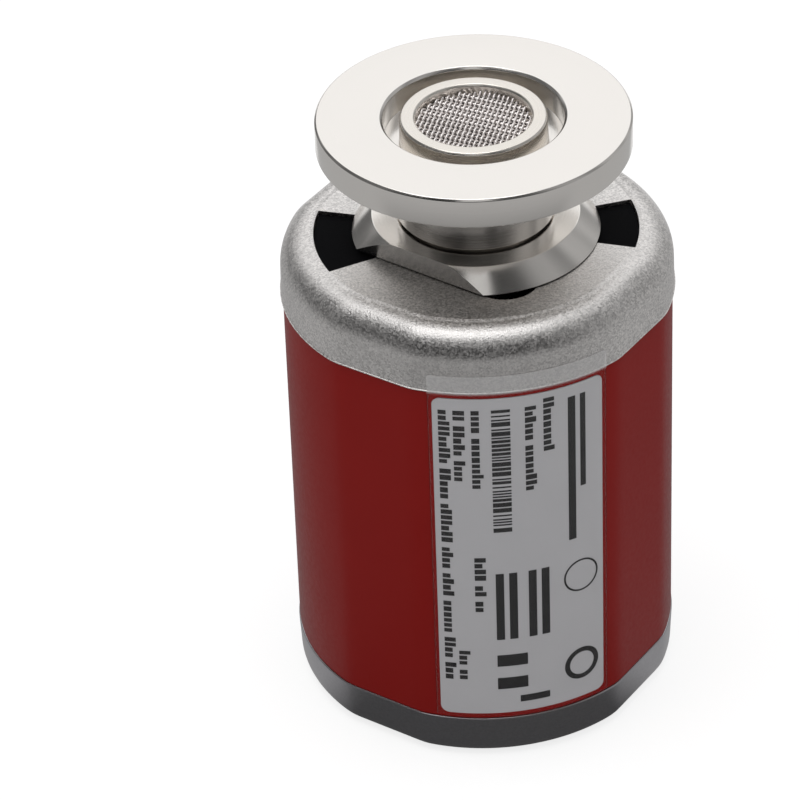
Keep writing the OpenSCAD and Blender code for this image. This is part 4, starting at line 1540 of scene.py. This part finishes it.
@dataclass
class Studio:
    """White floor and background, soft light from above, and a tent that reflections show.

    The fades of tent and floor run over the cosine of the level angle from the camera's side, over the
    height as a share of the tent's radius, or over the distance from the axis in metres.
    """

    camera: PhotoCamera
    fill: float = 0.7
    floor_shade: float = 0.6
    floor_glow: float = 0.77
    floor_shadow: float = 0.3
    floor_half: float = 2.0
    floor_open_r: float = 0.0168
    lamp_height: float = 0.62
    lamp_size: tuple[float, float] = (0.50, 0.36)
    lamp_shift: float = -0.075
    lamp_power: float = 1.3
    tent_r: float = 0.9
    tent_segments: int = 96
    tent_rings: int = 48
    fold_rate: float = 3.0
    fold_levels: Range = (0.6, 1.3)
    side_levels: Range = (0.13, 0.36)
    side_fade: Range = (-0.6, 0.4)
    front_level: float = 0.05
    front_fade: Range = (0.25, 0.85)
    back_level: float = 1.04
    back_fade: Range = (-0.45, -0.85)
    back_foot: Range = (0.15, 0.45)
    back_top: Range = (0.8, 0.97)
    back_top_share: float = 0.6
    window_level: float = 0.62
    window_fade: Range = (0.95, 0.98)
    window_foot: Range = (0.70, 0.76)
    window_top: Range = (0.88, 0.93)
    floor_lift: float = 0.00002
    # Level and reach of the painted contact shadow on the floor card
    floor_painted_shadow_level: float = 0.09
    floor_painted_shadow_fade: Range = (0.022, 0.13)
    floor_level: float = 0.42
    floor_side_fade: Range = (0.85, 0.3)
    floor_back_level: float = 0.95
    floor_back_fade: Range = (-0.75, -0.95)

    def build(self) -> None:
        """Builds the whole stage."""
        self.world()
        self.floor()
        self.lamp()
        self.tent()
        self.floor_card()
        bpy.context.scene.view_settings.view_transform = "Standard"

    @staticmethod
    def seen(sheet: Sheet) -> Socket:
        """Tells rays that see the background: from the camera, reflected or through glass.

        Args:
            sheet: Node tree of what is seen.
        Returns:
            1 for such rays, 0 for others.
        """
        path = sheet.node("LightPath")
        both = sheet.math("MAXIMUM", path["Is Camera Ray"], path["Is Glossy Ray"])
        return sheet.math("MAXIMUM", both, path["Is Transmission Ray"])

    def world(self) -> None:
        """White background that lights the object at a plain level."""
        bpy.context.scene.world = bpy.data.worlds.new("studio")
        sheet = Sheet(bpy.context.scene.world)
        strength = sheet.ramp(self.seen(sheet), FULL_SPAN, (self.fill, 1.0))
        sheet.close(sheet.node("Background", {"Color": WHITE, "Strength": strength})[0])

    def floor(self) -> None:
        """White floor that keeps a faint shadow, open under the object and when looked at from below."""
        bpy.ops.object.select_all(action="DESELECT")
        bpy.ops.mesh.primitive_plane_add(size=2 * self.floor_half)
        floor = bpy.context.object
        floor.name = "floor"
        sheet = Sheet(bpy.data.materials.new("floor_white"))
        plain, shadow = (sheet.node("BsdfDiffuse", {"Color": opaque((level,) * 3)})[0]
                         for level in (self.floor_shade, self.floor_shadow))
        lit = sheet.node("AddShader", {0: shadow, 1: sheet.glow(self.floor_glow)})[0]
        white = sheet.node("MixShader", {0: self.seen(sheet), 1: plain, 2: lit})[0]
        under = sheet.math("LESS_THAN", sheet.length(sheet.place()), self.floor_open_r)
        gone = sheet.math("MAXIMUM", under, sheet.node("NewGeometry")["Backfacing"])
        clear = sheet.node("BsdfTransparent", {"Color": WHITE})[0]
        floor.data.materials.append(sheet.close(sheet.node("MixShader", {0: gone, 1: white, 2: clear})[0]))

    def lamp(self) -> None:
        """Large soft lamp above the object."""
        data = bpy.data.lights.new("soft_lamp", "AREA")
        data.shape = "RECTANGLE"
        data.size, data.size_y = self.lamp_size
        data.energy = self.lamp_power
        lamp = bpy.data.objects.new("soft_lamp", data)
        bpy.context.scene.collection.objects.link(lamp)
        lamp.location = (self.lamp_shift, 0.0, self.lamp_height)
        lamp.rotation_euler = (0.0, 0.0, math.radians(self.camera.turn_deg))

    def card(self, piece: Piece, sheet: Sheet, level: Socket) -> None:
        """Makes a stage piece that only reflections see.

        Args:
            piece: The piece.
            sheet: Node tree of its material.
            level: Its brightness.
        """
        piece.data.materials.append(sheet.close(sheet.glow(level)))
        piece.visible_camera = False
        piece.visible_diffuse = False
        piece.visible_transmission = False
        piece.visible_shadow = False

    @staticmethod
    def facing(sheet: Sheet, way: Vector) -> Socket:
        """How far a place on a card lies one level way from the object, from -1 to 1.

        Args:
            sheet: Node tree of the card.
            way: Level direction from the object.
        Returns:
            The cosine between the place's level direction and that way.
        """
        level = sheet.node("VectorMath", {0: sheet.place(), 1: (1.0, 1.0, 0.0)}, operation="MULTIPLY")[0]
        heading = sheet.node("VectorMath", {0: level}, operation="NORMALIZE")[0]
        return sheet.node("VectorMath", {0: heading, 1: way}, operation="DOT_PRODUCT")["Value"]

    def tent(self) -> None:
        """Light tent: dark behind the camera, with one window, grey at the sides and white at the back."""
        bpy.ops.object.select_all(action="DESELECT")
        bpy.ops.mesh.primitive_uv_sphere_add(
            segments=self.tent_segments, ring_count=self.tent_rings, radius=self.tent_r)
        tent = bpy.context.object
        tent.name = "light_tent"
        with editing(tent, "DESELECT") as mesh:
            for face in mesh.faces:
                if face.calc_center_median().z < 0.0:
                    face.select_set(True)
            bmesh.update_edit_mesh(tent.data)
            bpy.ops.mesh.delete(type="FACE")
        sheet = Sheet(bpy.data.materials.new("tent_cloth"))
        towards = self.camera.towards()
        ahead = self.facing(sheet, towards)
        across = self.facing(sheet, Vector((-towards.y, towards.x, 0.0)))
        height = sheet.math("DIVIDE", sheet.parts(sheet.place())["Z"], self.tent_r)
        front_share = self.front_level / self.side_levels[1]
        side = self.product(
            sheet,
            sheet.fade(across, self.side_fade, self.side_levels),
            self.folds(sheet),
            sheet.fade(ahead, self.front_fade, (1.0, front_share)))
        back = self.product(
            sheet,
            sheet.fade(ahead, self.back_fade),
            sheet.fade(height, self.back_foot),
            sheet.fade(height, self.back_top, (1.0, self.back_top_share)),
            self.back_level)
        window = self.product(
            sheet,
            sheet.fade(ahead, self.window_fade, (0.0, self.window_level)),
            sheet.fade(height, self.window_foot),
            sheet.fade(height, self.window_top, (1.0, 0.0)))
        self.card(tent, sheet, sheet.math("MAXIMUM", sheet.math("MAXIMUM", side, back), window))

    @staticmethod
    def product(sheet: Sheet, first: Socket, *others: Input) -> Socket:
        """Product of several levels.

        Args:
            sheet: Node tree of the card.
            first: One level.
            others: The others.
        Returns:
            The product.
        """
        level = first
        for other in others:
            level = sheet.math("MULTIPLY", level, other)
        return level

    def folds(self, sheet: Sheet) -> Socket:
        """Upright folds of the tent's cloth.

        Args:
            sheet: Node tree of the cloth.
        Returns:
            A factor on its brightness.
        """
        place = sheet.parts(sheet.place())
        turn = sheet.math("ARCTAN2", place["Y"], place["X"])
        return sheet.ramp(sheet.noise(self.fold_rate, detail=1.0, along=turn), NOISE_SPAN, self.fold_levels)

    def floor_card(self) -> None:
        """Floor that reflections show: a painted shadow close in front of the object, grey elsewhere."""
        outline = circle(0, 0, self.tent_r, self.tent_segments)
        card = ring_of("floor_card", [(x, y, self.floor_lift) for x, y in outline])
        sheet = Sheet(bpy.data.materials.new("floor_card"))
        ahead = self.facing(sheet, self.camera.towards())
        radius = sheet.length(sheet.place())
        # Painted shadow: the card is dark near the object's foot, standing in for its contact shadow in
        # reflections
        painted_shadow = sheet.fade(radius, self.floor_painted_shadow_fade, (self.floor_painted_shadow_level, self.floor_level))
        side = sheet.fade(ahead, self.floor_side_fade, (0.0, self.floor_level))
        back = sheet.fade(ahead, self.floor_back_fade, (0.0, self.floor_back_level))
        self.card(card, sheet, sheet.math("MAXIMUM", sheet.math("MAXIMUM", painted_shadow, side), back))


def main() -> None:
    """Loads the frame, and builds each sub-assembly and the studio."""
    logging.basicConfig(level=logging.INFO, format="%(name)s: %(message)s")
    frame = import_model()
    gauge = Gauge(frame)
    gauge.mix()
    gauge.dress()
    for assembly in (FlangeAssembly(gauge), Housing(gauge), FrontLabel(gauge)):
        for piece in assembly.build():
            LOG.info("%s: %d faces", piece.name, len(piece.data.polygons))
    camera = PhotoCamera()
    camera.build()
    Studio(camera).build()


if __name__ == "__main__":
    main()
